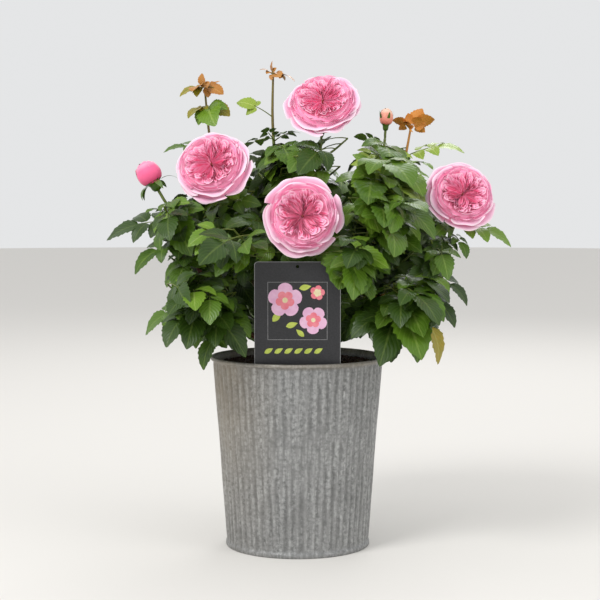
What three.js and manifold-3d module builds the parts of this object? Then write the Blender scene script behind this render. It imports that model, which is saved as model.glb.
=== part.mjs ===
// A bush rose in bloom, growing in a ribbed galvanised pot with a plant label.
// Millimetres, +Z up. The origin is the centre of the pot's flat underside, and -Y is the front.
import * as THREE from "three";
import { mergeVertices } from "three/addons/utils/BufferGeometryUtils.js";
import Module from "manifold-3d";

const wasm = await Module();
wasm.setup();

// Pot
const potHeight = 240;
const potTopRadius = 106.5; // mean of rib and groove, under the rim
const potFootRadius = 88.5;
const potWall = 2;
const potFloor = 3;
const ribCount = 60;
const ribDepth = 2;
const rimProfile = [[-2.6, 5], [2.8, 5], [3.6, 2], [1.4, 0], [-2.6, 0.8]]; // out from the wall, down from the top
const footBand = { out: 2.4, height: 6 };
const roundSides = 36;

// Soil
const soilTop = 233; // level part round the stem
const soilEdgeDrop = 3;
const clearGap = 0.3; // between neighbouring pieces

// Label
const cardWidth = 104;
const cardThickness = 0.9;
const cardTop = 362.5;
const cardFoot = 236;
const cardCorner = 4;
const cardY = -88;
const stakeWidth = 16;
const stakeFoot = 150;
const stakePoint = 14;

// Stem base, a knob from which every cane rises
const knobHeight = 27;
const knobProfile = [[21, 0], [18, 5], [20.5, 12], [18, 20], [10, 25.5]]; // radius, height above its foot
const knobSides = 12;
const lowRing = { reach: 8, height: 9, pitch: 24 }; // where the outer canes leave the knob
const highRing = { reach: 6, height: 14, pitch: 66 }; // and the inner ones

// Canes, and the leafy limbs that carry on from them
const caneRadii = [4.2, 3.1];
const caneSides = 6;
const caneSteps = 5;
const limbRadii = [2.8, 1.7];
const limbSides = 4;
const limbSteps = 4;
const twigRadii = [1.8, 1.4];
const twigPitch = 0.5; // radians above level
const twigLift = 0.16;
const stalkRadius = 1.9;
const stalkSides = 5;
const stalkSteps = 3;

// A leaf: two pairs of leaflets and a terminal one on a stalk that arches from its root to the leaf's tip
const leafLength = 128;
const rachisRadii = [1, 0.8];
const terminalAt = 0.5; // where the terminal leaflet starts, as a share of the leaf
const leafletShare = 0.4; // length of a side leaflet, as a share of the leaf
const leafletWidth = 0.7; // of its length
const leafletThickness = 1.3;
const widestAt = 0.42;
const leafletDroop = 0.16;
const leafletRoot = 2.2; // half the length of stalk that a leaflet takes up
const leafletPairs = [
  { at: 0.2, size: 0.82, turn: 1.2 },
  { at: 0.39, size: 0.96, turn: 0.98 },
];

// Blooms and buds
const bloomSides = 20;
const bloomLobes = 5;
const lobeRadius = 0.045;
const lobeDepth = 2;
const bloomProfile = [
  [0, -37, 0], [4, -36, 0], [6, -30, 0], [21, -21, 0], [36, -14, 0.5], [46, -7, 1], [39, -1.5, 0.5],
  [42, 4.5, -1], [33, 7.5, -0.5], [34, 12, 0.8], [25, 12.5, 0.3], [16, 9.5, -0.5], [8, 8, 0], [0, 3, 0],
]; // radius, depth along the bloom's axis, and how far the edge is lobed
const budProfile = [[0, -0.5], [0.3, -0.47], [0.42, -0.26], [0.94, -0.08], [1, 0.12], [0.66, 0.4], [0, 0.5]];
const budSides = 10;

// The rule for spaces and for growth
const goldenAngle = 2.39996;
const spaceMargin = 2.2; // a mass stays this far inside the space round its limbs
const limbClear = 5.5;
const leafGap = 9; // between the leaflets of different leaves in one mass
const bloomClear = { across: 51, deep: 36, ahead: 44 };
const labelClear = { side: 56, depth: 7, top: 372, bareCorner: [34, 318] };
const potClear = { inside: 99, outside: 114, lip: 246, soil: 238, lowest: 208 };
const turnTries = 14;
const sizeTries = [1, 0.85, 0.7, 0.58];
const reach = [ // height, furthest left, furthest right, furthest front, furthest back
  [225, -130, 130, -130, 130], [262, -165, 160, -160, 175], [310, -162, 180, -175, 200],
  [350, -160, 196, -180, 210], [392, -178, 205, -175, 212], [430, -168, 186, -150, 205],
  [470, -136, 162, -110, 190], [500, -90, 140, -70, 150], [514, -60, 90, -40, 100],
];

const up = new THREE.Vector3(0, 0, 1);
const vec = (p) => new THREE.Vector3(...p);

// Every mass of foliage: the fork where its cane ends, and the limbs that carry its leaves. The first
// limb starts at the fork, and the others branch from it, from being the share of it where they start.
// A limb with a larger share claims more of the space round it. Marked leaves and tips are those that
// stand out in the outline: where they leave the limb, their tip, and how far they arch.
const masses = [
  { name: "left", ring: lowRing, fork: [-84, -26, 283], seed: 11, limbs: [
    { bend: [-134, -47, 368], top: [-160, -31, 428], leaves: 9, twigs: 1, marked: [
      [0.84, [-237, -30, 388], 0.2], [0.68, [-201, -58, 350], 0.22], [0.56, [-143, -108, 330], 0.2],
      [0.92, [-184, -66, 422], 0.2], [0.04, [-119, -54, 230], 0.2]] },
    { from: 0.12, bend: [-108, -58, 300], top: [-130, -74, 306], leaves: 5, twigs: 0, marked: [
      [0.97, [-188, -62, 274], 0.3], [0.8, [-156, -128, 266], 0.26], [0.5, [-124, -84, 258], 0.2]] },
  ] },
  { name: "upper_left", ring: highRing, fork: [-48, -6, 322], seed: 23, limbs: [
    { bend: [-88, -6, 372], top: [-98, -16, 436], leaves: 9, twigs: 2, marked: [] },
    { from: 0.2, bend: [-110, 46, 440], top: [-117.5, 22, 580], share: 0.8, leaves: 9, until: 0.62, twigs: 2,
      marked: [[0.7, [-169, 14, 497], 0.16]],
      tips: [[0.9, [-138, 5, 540], 0.2], [0.9, [-85, 10, 542], 0.2], [0.9, [-104, -20, 531], 0.24],
        [0.99, [-149, 15, 567], 0.16], [0.99, [-93, 9, 568], 0.24], [0.97, [-98, 32, 586], 0.2],
        [0.97, [-121, 20, 594], 0.02], [0.99, [-132, -4, 574], 0.2]] },
  ] },
  { name: "centre", ring: highRing, fork: [-4, 14, 338], seed: 41, limbs: [
    { bend: [27, -5, 423], top: [30, 12, 516], leaves: 12, until: 0.9, twigs: 2, marked: [] },
    { from: 0.15, bend: [-39, 43, 458], top: [-31, 38, 600], leaves: 12, until: 0.66, twigs: 2, marked: [
      [0.78, [-78, 48, 561], 0.16], [0.66, [-44, 4, 524], 0.16], [0.66, [3, 12, 520], 0.2]],
      tips: [[0.98, [-48, 36, 601], 0.1], [0.98, [-3, 30, 587], 0.22], [0.97, [-33, 38, 611], 0.02],
        [0.98, [-22, 18, 590], 0.2]] },
  ] },
  { name: "front", ring: lowRing, fork: [2, -50, 300], seed: 67, limbs: [
    { bend: [2, -62, 345], top: [5, -70, 396], leaves: 6, twigs: 0, marked: [] },
    { from: 0.2, bend: [-30, -74, 350], top: [-64, -78, 388], leaves: 9, twigs: 1, marked: [] },
    { from: 0.26, bend: [40, -74, 340], top: [66, -74, 378], leaves: 8, twigs: 1, marked: [
      [0.97, [92, -130, 358], 0.2]], tips: [[0.97, [50, -128, 336], 0.3]] },
  ] },
  { name: "upper_right", ring: highRing, fork: [46, 14, 326], seed: 83, limbs: [
    { bend: [105.7, 30, 405], top: [110.6, 30, 512], leaves: 10, until: 0.9, twigs: 1, marked: [
      [0.95, [72, 42, 516], 0.14]] },
    { from: 0.35, bend: [134, 40.5, 446], top: [145, 50, 528], leaves: 6, until: 0.8, twigs: 1, marked: [
      [0.76, [210, 20, 499], 0.2], [0.66, [147, -14, 474], 0.2], [0.7, [170, 6, 475], 0.2]],
      tips: [[0.98, [122, 50, 539], 0.24], [0.98, [174, 50, 540], 0.3], [0.97, [160, 62, 551], 0.16],
        [0.96, [140, 34, 536], 0.2]] },
    { from: 0.12, bend: [84, -44, 372], top: [100, -52, 446], share: 1.35, leaves: 9, twigs: 1, marked: [
      [0.94, [70, -98, 422], 0.2]] },
  ] },
  { name: "right", ring: lowRing, fork: [90, -20, 284], seed: 97, limbs: [
    { bend: [172.5, -35, 334], top: [197, -14, 408], leaves: 9, twigs: 1, marked: [
      [0.97, [267, -20, 381], 0.2], [0.9, [209, -44, 366], 0.3], [0.76, [166, -74, 348], 0.3],
      [0.55, [211, -44, 309], 0.2], [0.4, [195, -56, 283], 0.2]] },
    { from: 0.14, bend: [122, -56, 302], top: [148, -64, 308], leaves: 5, twigs: 0, marked: [
      [0.9, [160, -128, 290], 0.2], [0.97, [178, -58, 236], 0.3], [0.6, [146, -104, 246], 0.24],
      [0.1, [116, -68, 240], 0.3]] },
  ] },
  { name: "back_left", ring: lowRing, fork: [-66, 62, 286], seed: 127, limbs: [
    { bend: [-112, 90, 330], top: [-116, 96, 436], leaves: 8, twigs: 2, marked: [] },
    { from: 0.16, bend: [-48, 116, 350], top: [-36, 112, 462], leaves: 8, twigs: 1, marked: [] },
  ] },
  { name: "back_right", ring: lowRing, fork: [74, 62, 286], seed: 149, limbs: [
    { bend: [132, 90, 330], top: [138, 96, 438], leaves: 8, twigs: 2, marked: [] },
    { from: 0.16, bend: [60, 116, 350], top: [52, 112, 462], leaves: 8, twigs: 1, marked: [] },
  ] },
];

// Blooms and buds: the centre of the flower, the way it faces, and the mass whose first limb ends at it.
const blooms = [
  { name: "bloom_left", mass: "upper_left", centre: [-104.6, -45, 478], faces: [-0.22, -0.86, 0.46], turn: 0.3 },
  { name: "bloom_top", mass: "centre", centre: [31.7, 0, 556], faces: [-0.08, -0.78, 0.62], turn: 0.8 },
  { name: "bloom_centre", mass: "front", centre: [6, -97, 417], faces: [0, -0.98, 0.18], turn: 0.1 },
  { name: "bloom_right", mass: "right", centre: [201.8, -38, 442], faces: [0.18, -0.9, 0.4], turn: 0.6,
    scale: 0.92 },
];
const buds = [
  { name: "bud_left", mass: "left", centre: [-182, -30, 465], radius: 16, length: 42 },
  { name: "bud_right", mass: "upper_right", centre: [112, 29, 537], radius: 9, length: 30 },
];

// A seeded run of numbers from 0 to 1.
function seeded(seed) {
  let state = seed;
  return () => {
    state = (Math.imul(state, 1664525) + 1013904223) >>> 0;
    return state / 4294967296;
  };
}

// Geometry to solid and back
function solidOf(geometry) {
  const bare = geometry.clone();
  bare.deleteAttribute("normal");
  bare.deleteAttribute("uv");
  const merged = mergeVertices(bare, 1e-3);
  return new wasm.Manifold(new wasm.Mesh({
    numProp: 3,
    vertProperties: new Float32Array(merged.attributes.position.array),
    triVerts: new Uint32Array(merged.index.array),
  }));
}

const cleanTo = 0.02;
function geometryOf(solid) {
  const pieces = solid.simplify(cleanTo).decompose().sort((a, b) => b.volume() - a.volume());
  const mesh = pieces[0].getMesh();
  const geometry = new THREE.BufferGeometry();
  geometry.setAttribute("position", new THREE.BufferAttribute(new Float32Array(mesh.vertProperties), 3));
  geometry.setIndex(new THREE.BufferAttribute(new Uint32Array(mesh.triVerts), 1));
  return geometry;
}

// A tapering limb: a cylinder whose rings are carried along a line of points.
function limbAlong(line, [footRadius, tipRadius], sides) {
  const steps = line.length - 1;
  const geometry = new THREE.CylinderGeometry(tipRadius, footRadius, 1, sides, steps);
  const frames = [];
  let side = new THREE.Vector3(1, 0, 0);
  line.forEach((point, i) => {
    const along = line[Math.min(i + 1, steps)].clone().sub(line[Math.max(i - 1, 0)]).normalize();
    side = side.clone().addScaledVector(along, -side.dot(along)).normalize();
    frames.push({ side, front: new THREE.Vector3().crossVectors(side, along) });
  });
  const position = geometry.attributes.position;
  for (let i = 0; i < position.count; i++) {
    const ring = Math.round((position.getY(i) + 0.5) * steps);
    const place = line[ring].clone()
      .addScaledVector(frames[ring].side, position.getX(i))
      .addScaledVector(frames[ring].front, position.getZ(i));
    position.setXYZ(i, place.x, place.y, place.z);
  }
  return solidOf(geometry);
}

// The lines of the canes and limbs
function caneLine(mass) {
  const heading = Math.atan2(mass.fork[1], mass.fork[0]);
  const pitch = THREE.MathUtils.degToRad(mass.ring.pitch);
  const start = new THREE.Vector3(Math.cos(heading), Math.sin(heading), 0).multiplyScalar(mass.ring.reach)
    .setZ(soilTop + mass.ring.height);
  const way = new THREE.Vector3(Math.cos(heading) * Math.cos(pitch), Math.sin(heading) * Math.cos(pitch),
    Math.sin(pitch));
  const fork = vec(mass.fork);
  const bend = start.clone().addScaledVector(way, 0.5 * start.distanceTo(fork));
  return new THREE.QuadraticBezierCurve3(start, bend, fork).getPoints(caneSteps);
}

function limbLine(mass, limb) {
  const foot = limb.from === undefined ? vec(mass.fork) : pointOn(mass.limbs[0].line, limb.from);
  return new THREE.QuadraticBezierCurve3(foot, vec(limb.bend), vec(limb.top)).getPoints(limbSteps);
}

// The line of a limb or stalk that carries on past the end of another, clear of it and square to its end.
function carryOn(line, next) {
  const end = line.at(-1);
  const along = end.clone().sub(line.at(-2)).normalize();
  return [clearGap, 3].map((far) => end.clone().addScaledVector(along, far)).concat(next.slice(1));
}

function pointOn(line, share) {
  const step = Math.min(Math.floor(share * (line.length - 1)), line.length - 2);
  return line[step].clone().lerp(line[step + 1], share * (line.length - 1) - step);
}

function distanceToLine(point, line) {
  let nearest = Infinity;
  for (let i = 0; i + 1 < line.length; i++) {
    const along = line[i + 1].clone().sub(line[i]);
    const share = point.clone().sub(line[i]).dot(along) / along.lengthSq();
    const foot = line[i].clone().addScaledVector(along, Math.min(1, Math.max(0, share)));
    nearest = Math.min(nearest, foot.distanceTo(point));
  }
  return nearest;
}

function distanceToLimbs(point, mass) {
  return Math.min(...mass.limbs.map((limb) => distanceToLine(point, limb.line) / (limb.share ?? 1)));
}

for (const mass of masses) {
  mass.cane = caneLine(mass);
  for (const limb of mass.limbs) limb.line = limbLine(mass, limb);
}
for (const flower of [...blooms, ...buds]) {
  const limb = masses.find((mass) => mass.name === flower.mass).limbs[0];
  const top = vec(limb.top);
  const centre = vec(flower.centre);
  flower.scale = flower.scale ?? 1;
  flower.axis = flower.faces ? vec(flower.faces).normalize() : centre.clone().sub(top).normalize();
  const back = flower.faces ? 34 * flower.scale : flower.length * 0.46;
  const hip = centre.clone().addScaledVector(flower.axis, -back);
  const bend = hip.clone().addScaledVector(flower.axis, -0.45 * top.distanceTo(hip));
  flower.stalk = carryOn(limb.line, new THREE.QuadraticBezierCurve3(top, bend, hip).getPoints(stalkSteps));
}

// Whether a point is within the plant's reach at its height.
function isInReach(point) {
  const above = reach.findIndex(([height]) => height > point.z);
  if (above < 1) return false;
  const [low, high] = [reach[above - 1], reach[above]];
  const share = (point.z - low[0]) / (high[0] - low[0]);
  const [left, right, front, back] = [1, 2, 3, 4].map((i) => low[i] + share * (high[i] - low[i]));
  return point.x > left && point.x < right && point.y > front && point.y < back;
}

// Whether a mass may hold a point: inside its own space, and clear of pot, soil, label, canes and flowers.
function isFree(point, mass, onStalk) {
  const own = distanceToLimbs(point, mass);
  for (const other of masses) {
    if (other !== mass && distanceToLimbs(point, other) < own + spaceMargin) return false;
    if (other === mass && onStalk) continue;
    if (distanceToLine(point, other.cane) < limbClear + caneRadii[0]) return false;
  }
  const radius = Math.hypot(point.x, point.y);
  if (point.z < potClear.lowest) return false;
  if (radius < potClear.inside && point.z < potClear.soil) return false;
  if (radius >= potClear.inside && radius < potClear.outside && point.z < potClear.lip) return false;
  const behindLabel = point.y > cardY + labelClear.depth;
  const besideLabel = Math.abs(point.x) > labelClear.side || point.z > labelClear.top;
  const overCorner = point.y < cardY - labelClear.depth && point.x > labelClear.bareCorner[0]
    && point.z > labelClear.bareCorner[1];
  if (!behindLabel && !besideLabel && !overCorner) return false;
  for (const flower of [...blooms, ...buds]) {
    const offset = point.clone().sub(vec(flower.centre));
    const deep = offset.dot(flower.axis);
    const across = Math.sqrt(Math.max(0, offset.lengthSq() - deep * deep));
    const wide = flower.faces ? bloomClear.across * flower.scale : flower.radius + limbClear;
    const thick = flower.faces ? bloomClear.deep * flower.scale : flower.length * 0.5 + limbClear;
    if ((deep / thick) ** 2 + (across / wide) ** 2 < 1) return false;
    const ahead = flower.faces ? bloomClear.ahead * flower.scale : flower.radius;
    if (offset.y < 0 && Math.hypot(offset.x, offset.z) < ahead) return false;
    if (!onStalk && distanceToLine(point, flower.stalk) < limbClear) return false;
  }
  return true;
}

// The plan of one leaf from its root to its tip. Its face leans up, out from the plant and to the viewer's
// side or away from it, then rolls by a drawn amount.
function planLeaf(root, tip, arch, roll, pairs) {
  const length = root.distanceTo(tip);
  const middle = root.clone().lerp(tip, 0.5).addScaledVector(up, arch * length);
  const curve = new THREE.QuadraticBezierCurve3(root, middle, tip);
  const out = new THREE.Vector3(tip.x, tip.y, 0).normalize();
  const lean = up.clone().multiplyScalar(0.8).addScaledVector(out, 0.5);
  lean.y += tip.y < 40 ? -0.45 : 0.45;
  const frameAt = (at) => {
    const along = curve.getTangent(at);
    const side = new THREE.Vector3().crossVectors(along, lean).normalize().applyAxisAngle(along, roll);
    return { centre: curve.getPoint(at), along, side, face: new THREE.Vector3().crossVectors(side, along) };
  };
  const leaflets = [];
  for (const { at, size, turn } of pairs) {
    for (const hand of [1, -1]) {
      const { centre, along, side, face } = frameAt(at);
      const way = along.clone().multiplyScalar(Math.cos(turn)).addScaledVector(side, hand * Math.sin(turn));
      const across = along.clone().multiplyScalar(Math.sin(turn)).addScaledVector(side, -hand * Math.cos(turn));
      leaflets.push(leafletCorners(centre, way, across, face, length * leafletShare * size));
    }
  }
  const end = frameAt(terminalAt);
  const way = tip.clone().sub(end.centre);
  const span = way.length();
  leaflets.push(leafletCorners(end.centre, way.normalize(), end.side, end.face, span, 0));
  return { curve, frameAt, pairs, leaflets, length };
}

// The corners of a leaflet: its tip, its two edges, and the ridge of its midrib between them.
function leafletCorners(root, way, across, face, length, droop = leafletDroop) {
  const place = (along, out, lift) => root.clone()
    .addScaledVector(way, along * length).addScaledVector(across, out * length).addScaledVector(face, lift);
  return {
    root,
    tip: place(1, 0, -droop * length),
    ahead: place(widestAt, leafletWidth / 2, -leafletThickness / 2),
    behind: place(widestAt, -leafletWidth / 2, -leafletThickness / 2),
    ridge: place(widestAt, 0, leafletThickness / 2),
  };
}

function samplesOf(leaflet) {
  const outline = [leaflet.ahead, leaflet.tip, leaflet.behind, leaflet.root];
  const halfway = outline.map((corner, i) => corner.clone().lerp(outline[(i + 1) % 4], 0.5));
  const inside = [leaflet.root, leaflet.tip].map((end) => leaflet.ridge.clone().lerp(end, 0.5));
  return [...outline, ...halfway, ...inside, leaflet.ridge];
}

function leafIsFree(plan, mass, taken, marked) {
  for (const leaflet of plan.leaflets) {
    const points = samplesOf(leaflet);
    if (!points.every((point) => isFree(point, mass, false) && (marked || isInReach(point)))) return false;
    if (!marked && points.some((point) => taken.some((other) => other.distanceTo(point) < leafGap))) return false;
  }
  return isFree(plan.curve.getPoint(0.3), mass, true);
}

// The growth of one mass: its limbs, twigs and leaves, in the order they are drawn.
function growMass(mass) {
  const random = seeded(mass.seed);
  const taken = [];
  const leaves = [];
  const twigs = [];
  const keep = (plan) => {
    plan.leaflets.forEach((leaflet) => taken.push(...samplesOf(leaflet)));
    leaves.push(plan);
  };
  const tryLeaf = (root, heading, pitch, size, droop, roll) => {
    for (const share of sizeTries) {
      for (let turn = 0; turn < turnTries; turn++) {
        const swing = Math.ceil(turn / 2) * (turn % 2 ? 1 : -1) * (2 * Math.PI / turnTries);
        const length = leafLength * size * share;
        const tip = root.clone().add(new THREE.Vector3(
          Math.cos(heading + swing) * Math.cos(pitch), Math.sin(heading + swing) * Math.cos(pitch),
          Math.sin(pitch) - droop).multiplyScalar(length));
        const pairs = share < 0.8 ? leafletPairs.slice(1) : leafletPairs;
        const plan = planLeaf(root, tip, droop * 0.4, roll, pairs);
        if (leafIsFree(plan, mass, taken, false)) return keep(plan);
      }
    }
  };
  for (const limb of mass.limbs) {
    for (const [at, tip, arch] of limb.marked) {
      const plan = planLeaf(pointOn(limb.line, at), vec(tip), arch, 0, leafletPairs);
      if (leafIsFree(plan, mass, taken, true)) keep(plan);
    }
    for (const [at, tip, arch] of limb.tips ?? []) {
      const plan = planLeaf(pointOn(limb.line, at), vec(tip), arch, 0, []);
      if (leafIsFree(plan, mass, taken, true)) keep(plan);
    }
  }
  for (const limb of mass.limbs) {
    const first = random() * 2 * Math.PI;
    const last = limb.until ?? 0.97;
    for (let k = 0; k < limb.twigs; k++) {
      const root = pointOn(limb.line, 0.1 + (last - 0.2) * (k + random()) / limb.twigs);
      const length = 44 + 30 * random();
      for (let turn = 0; turn < turnTries; turn++) {
        const heading = first + 1.9 + k * goldenAngle + turn * (2 * Math.PI / turnTries);
        const out = new THREE.Vector3(Math.cos(heading), Math.sin(heading), 0);
        const twig = [0, 0.5, 1].map((t) => root.clone().addScaledVector(out, length * Math.cos(twigPitch) * t)
          .addScaledVector(up, length * (Math.sin(twigPitch) * t + twigLift * t * t)));
        if (!twig.slice(1).every((point) => isFree(point, mass, true) && isInReach(point))) continue;
        twigs.push(twig);
        for (const share of [0.5, 0.8, 0.97]) {
          tryLeaf(pointOn(twig, share), heading + (share - 0.8) * 4 * (random() < 0.5 ? -1 : 1), 0.35 * random(),
            0.85 + 0.24 * random(), 0.4 + 0.4 * random(), (random() - 0.5) * 0.8);
        }
        break;
      }
    }
    for (let i = 0; i < limb.leaves; i++) {
      const at = 0.06 + (last - 0.06) * (i + 0.6 * random()) / limb.leaves;
      tryLeaf(pointOn(limb.line, at), first + i * goldenAngle, 0.4 * random(),
        0.85 + 0.28 * random(), 0.4 + 0.4 * random(), (random() - 0.5) * 0.8);
    }
  }
  return { twigs, leaves };
}

// Joins two rings of corners with triangles. The steps say which ring moves on: h the first, m the second.
function bridge(triangles, first, second, steps) {
  let [h, m] = [0, 0];
  for (const step of steps) {
    const [a, b] = [first[h % first.length], second[m % second.length]];
    if (step === "h") triangles.push(a, first[++h % first.length], b);
    else triangles.push(a, second[++m % second.length], b);
  }
}

// One leaf as a closed skin: a three-sided stalk whose side faces open into the leaflets.
function leafSolid(plan) {
  const points = [];
  const triangles = [];
  const add = (point) => points.push(point) - 1;
  const gap = leafletRoot / plan.length;
  const sectionAt = (at) => {
    const { centre, side, face } = plan.frameAt(at);
    const radius = THREE.MathUtils.lerp(...rachisRadii, at / terminalAt);
    return {
      left: add(centre.clone().addScaledVector(side, -radius).addScaledVector(face, radius * 0.5)),
      right: add(centre.clone().addScaledVector(side, radius).addScaledVector(face, radius * 0.5)),
      keel: add(centre.clone().addScaledVector(face, -radius)),
    };
  };
  const skinTop = (a, b) => triangles.push(a.left, a.right, b.right, a.left, b.right, b.left);
  const skinRight = (a, b) => triangles.push(a.right, a.keel, b.keel, a.right, b.keel, b.right);
  const skinLeft = (a, b) => triangles.push(a.left, b.left, b.keel, a.left, b.keel, a.keel);
  const addLeaflet = (ring, leaflet, order, steps) => {
    const corners = order.map((name) => add(leaflet[name]));
    const tip = add(leaflet.tip);
    bridge(triangles, ring, corners, steps);
    corners.forEach((corner, i) => triangles.push(corner, corners[(i + 1) % 3], tip));
  };
  let last = sectionAt(0);
  triangles.push(last.right, last.left, last.keel);
  plan.pairs.forEach(({ at }, i) => {
    const [a, b] = [sectionAt(at - gap), sectionAt(at + gap)];
    for (const skin of [skinTop, skinRight, skinLeft]) skin(last, a);
    skinTop(a, b);
    const [right, left] = plan.leaflets.slice(2 * i, 2 * i + 2);
    addLeaflet([a.right, a.keel, b.keel, b.right], right, ["ridge", "behind", "ahead"], "mhmhhmh");
    addLeaflet([b.left, b.keel, a.keel, a.left], left, ["ridge", "ahead", "behind"], "mhmhhmh");
    last = b;
  });
  const end = sectionAt(terminalAt);
  for (const skin of [skinTop, skinRight, skinLeft]) skin(last, end);
  addLeaflet([end.right, end.keel, end.left], plan.leaflets.at(-1), ["ridge", "ahead", "behind"], "mhmhmh");
  return new wasm.Manifold(new wasm.Mesh({
    numProp: 3,
    vertProperties: new Float32Array(points.flatMap((point) => point.toArray())),
    triVerts: new Uint32Array(triangles),
  }));
}

function massSolid(mass) {
  const { twigs, leaves } = growMass(mass);
  const pieces = mass.limbs.map(({ line, from }) => {
    if (from !== undefined) return limbAlong(line, [limbRadii[0] * 0.85, limbRadii[1]], limbSides);
    return limbAlong(carryOn(mass.cane, line), limbRadii, limbSides);
  });
  for (const twig of twigs) pieces.push(limbAlong(twig, twigRadii, 3));
  for (const leaf of leaves) pieces.push(leafSolid(leaf));
  return wasm.Manifold.union(pieces);
}

// Flowers
function placed(geometry, axis, turn, centre, scale) {
  const pose = new THREE.Matrix4().makeRotationFromQuaternion(new THREE.Quaternion().setFromUnitVectors(up, axis));
  return geometry.rotateZ(turn).scale(scale, scale, scale).applyMatrix4(pose).translate(...centre);
}

function latheUp(profile, sides) {
  const points = profile.map(([radius, height]) => new THREE.Vector2(radius, height));
  return new THREE.LatheGeometry(points, sides).rotateX(Math.PI / 2);
}

function bloomSolid(bloom) {
  const geometry = latheUp(bloomProfile, bloomSides);
  const position = geometry.attributes.position;
  for (let i = 0; i < position.count; i++) {
    const lobe = bloomProfile[i % bloomProfile.length][2];
    const wave = lobe * Math.cos(bloomLobes * Math.atan2(position.getY(i), position.getX(i)));
    const swell = 1 + wave * lobeRadius;
    position.setXYZ(i, position.getX(i) * swell, position.getY(i) * swell, position.getZ(i) + wave * lobeDepth);
  }
  const head = solidOf(placed(geometry, bloom.axis, bloom.turn, bloom.centre, bloom.scale));
  return head.add(limbAlong(bloom.stalk, [stalkRadius, stalkRadius * 1.4], stalkSides));
}

function budSolid(bud) {
  const profile = budProfile.map(([radius, height]) => [radius * bud.radius, height * bud.length]);
  const head = solidOf(placed(latheUp(profile, budSides), bud.axis, 0, bud.centre, 1));
  return head.add(limbAlong(bud.stalk, [stalkRadius * 0.85, stalkRadius], stalkSides));
}

// Stem base and canes
function knobSolid(grow) {
  const foot = soilTop + clearGap;
  const profile = [[0, foot - grow], ...knobProfile.map(([radius, height]) => [radius + grow, foot + height])];
  profile[1][1] -= grow;
  profile.push([0, foot + knobHeight + grow]);
  return solidOf(latheUp(profile, knobSides));
}

function caneSolid(mass) {
  const parts = limbAlong(mass.cane, caneRadii, caneSides).subtract(knobSolid(clearGap));
  return parts.decompose().sort((a, b) => b.volume() - a.volume())[0];
}

// Pot, soil and label
const potRadiusAt = (z) => potFootRadius + (potTopRadius - potFootRadius) * z / potHeight;
const innerRadiusAt = (z) => potRadiusAt(z) - ribDepth / 2 - potWall;

function potSolid() {
  const outline = new THREE.Shape();
  for (let i = 0; i < 2 * ribCount; i++) {
    const angle = Math.PI * i / ribCount;
    const radius = 1 + (i % 2 ? -0.5 : 0.5) * ribDepth / potRadiusAt(potHeight / 2);
    outline[i ? "lineTo" : "moveTo"](radius * Math.cos(angle), radius * Math.sin(angle));
  }
  const wall = new THREE.ExtrudeGeometry(outline, { depth: potHeight - 2, bevelEnabled: false });
  const position = wall.attributes.position;
  for (let i = 0; i < position.count; i++) {
    const radius = potRadiusAt(position.getZ(i));
    position.setXY(i, position.getX(i) * radius, position.getY(i) * radius);
  }
  const depth = potHeight + 1 - potFloor;
  const hollow = new THREE.CylinderGeometry(innerRadiusAt(potHeight + 1), innerRadiusAt(potFloor), depth, roundSides)
    .rotateX(Math.PI / 2).translate(0, 0, potFloor + depth / 2);
  const bandRadius = potFootRadius + footBand.out;
  const band = new THREE.CylinderGeometry(bandRadius, bandRadius, footBand.height, roundSides)
    .rotateX(Math.PI / 2).translate(0, 0, footBand.height / 2);
  const rim = latheUp([...rimProfile, rimProfile[0]].map(([out, down]) => [potTopRadius + out, potHeight - down]),
    roundSides);
  return solidOf(wall).add(solidOf(band)).subtract(solidOf(hollow)).add(solidOf(rim));
}

function stakeOutline(grow) {
  const half = stakeWidth / 2 + grow;
  const shape = new THREE.Shape();
  shape.moveTo(-half, soilTop + 20);
  shape.lineTo(-half, stakeFoot + stakePoint);
  shape.lineTo(0, stakeFoot - 2 * grow);
  shape.lineTo(half, stakeFoot + stakePoint);
  shape.lineTo(half, soilTop + 20);
  shape.closePath();
  return shape;
}

// An upright plate in the label's plane, made from its outline in X and Z.
function plate(outline, thickness) {
  const geometry = new THREE.ExtrudeGeometry(outline, { depth: thickness, bevelEnabled: false, curveSegments: 3 });
  return solidOf(geometry.rotateX(Math.PI / 2).translate(0, cardY + thickness / 2, 0));
}

function labelSolid() {
  const half = cardWidth / 2;
  const card = new THREE.Shape();
  card.moveTo(-half, cardFoot);
  card.lineTo(half, cardFoot);
  card.lineTo(half, cardTop - cardCorner);
  card.absarc(half - cardCorner, cardTop - cardCorner, cardCorner, 0, Math.PI / 2);
  card.lineTo(-half + cardCorner, cardTop);
  card.absarc(-half + cardCorner, cardTop - cardCorner, cardCorner, Math.PI / 2, Math.PI);
  card.closePath();
  return plate(card, cardThickness).add(plate(stakeOutline(0), cardThickness));
}

function soilSolid() {
  const low = potFloor + clearGap;
  const edgeTop = soilTop - soilEdgeDrop;
  const profile = [
    [0, low], [innerRadiusAt(low) - 2 * clearGap, low], [innerRadiusAt(edgeTop) - 2 * clearGap, edgeTop],
    [80, soilTop - 1], [45, soilTop], [0, soilTop],
  ];
  return solidOf(latheUp(profile, roundSides)).subtract(plate(stakeOutline(clearGap), cardThickness + 2 * clearGap));
}

// Colours
const looks = {
  zinc: { color: 0x8f9391, roughness: 0.55, metalness: 0.7 },
  compost: { color: 0x2c2018, roughness: 0.95, metalness: 0 },
  card: { color: 0x1d1d1f, roughness: 0.45, metalness: 0 },
  bark: { color: 0x4b5a2c, roughness: 0.7, metalness: 0 },
  leaf: { color: 0x2c5a1e, roughness: 0.45, metalness: 0 },
  petal: { color: 0xe880a8, roughness: 0.6, metalness: 0 },
};

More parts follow.
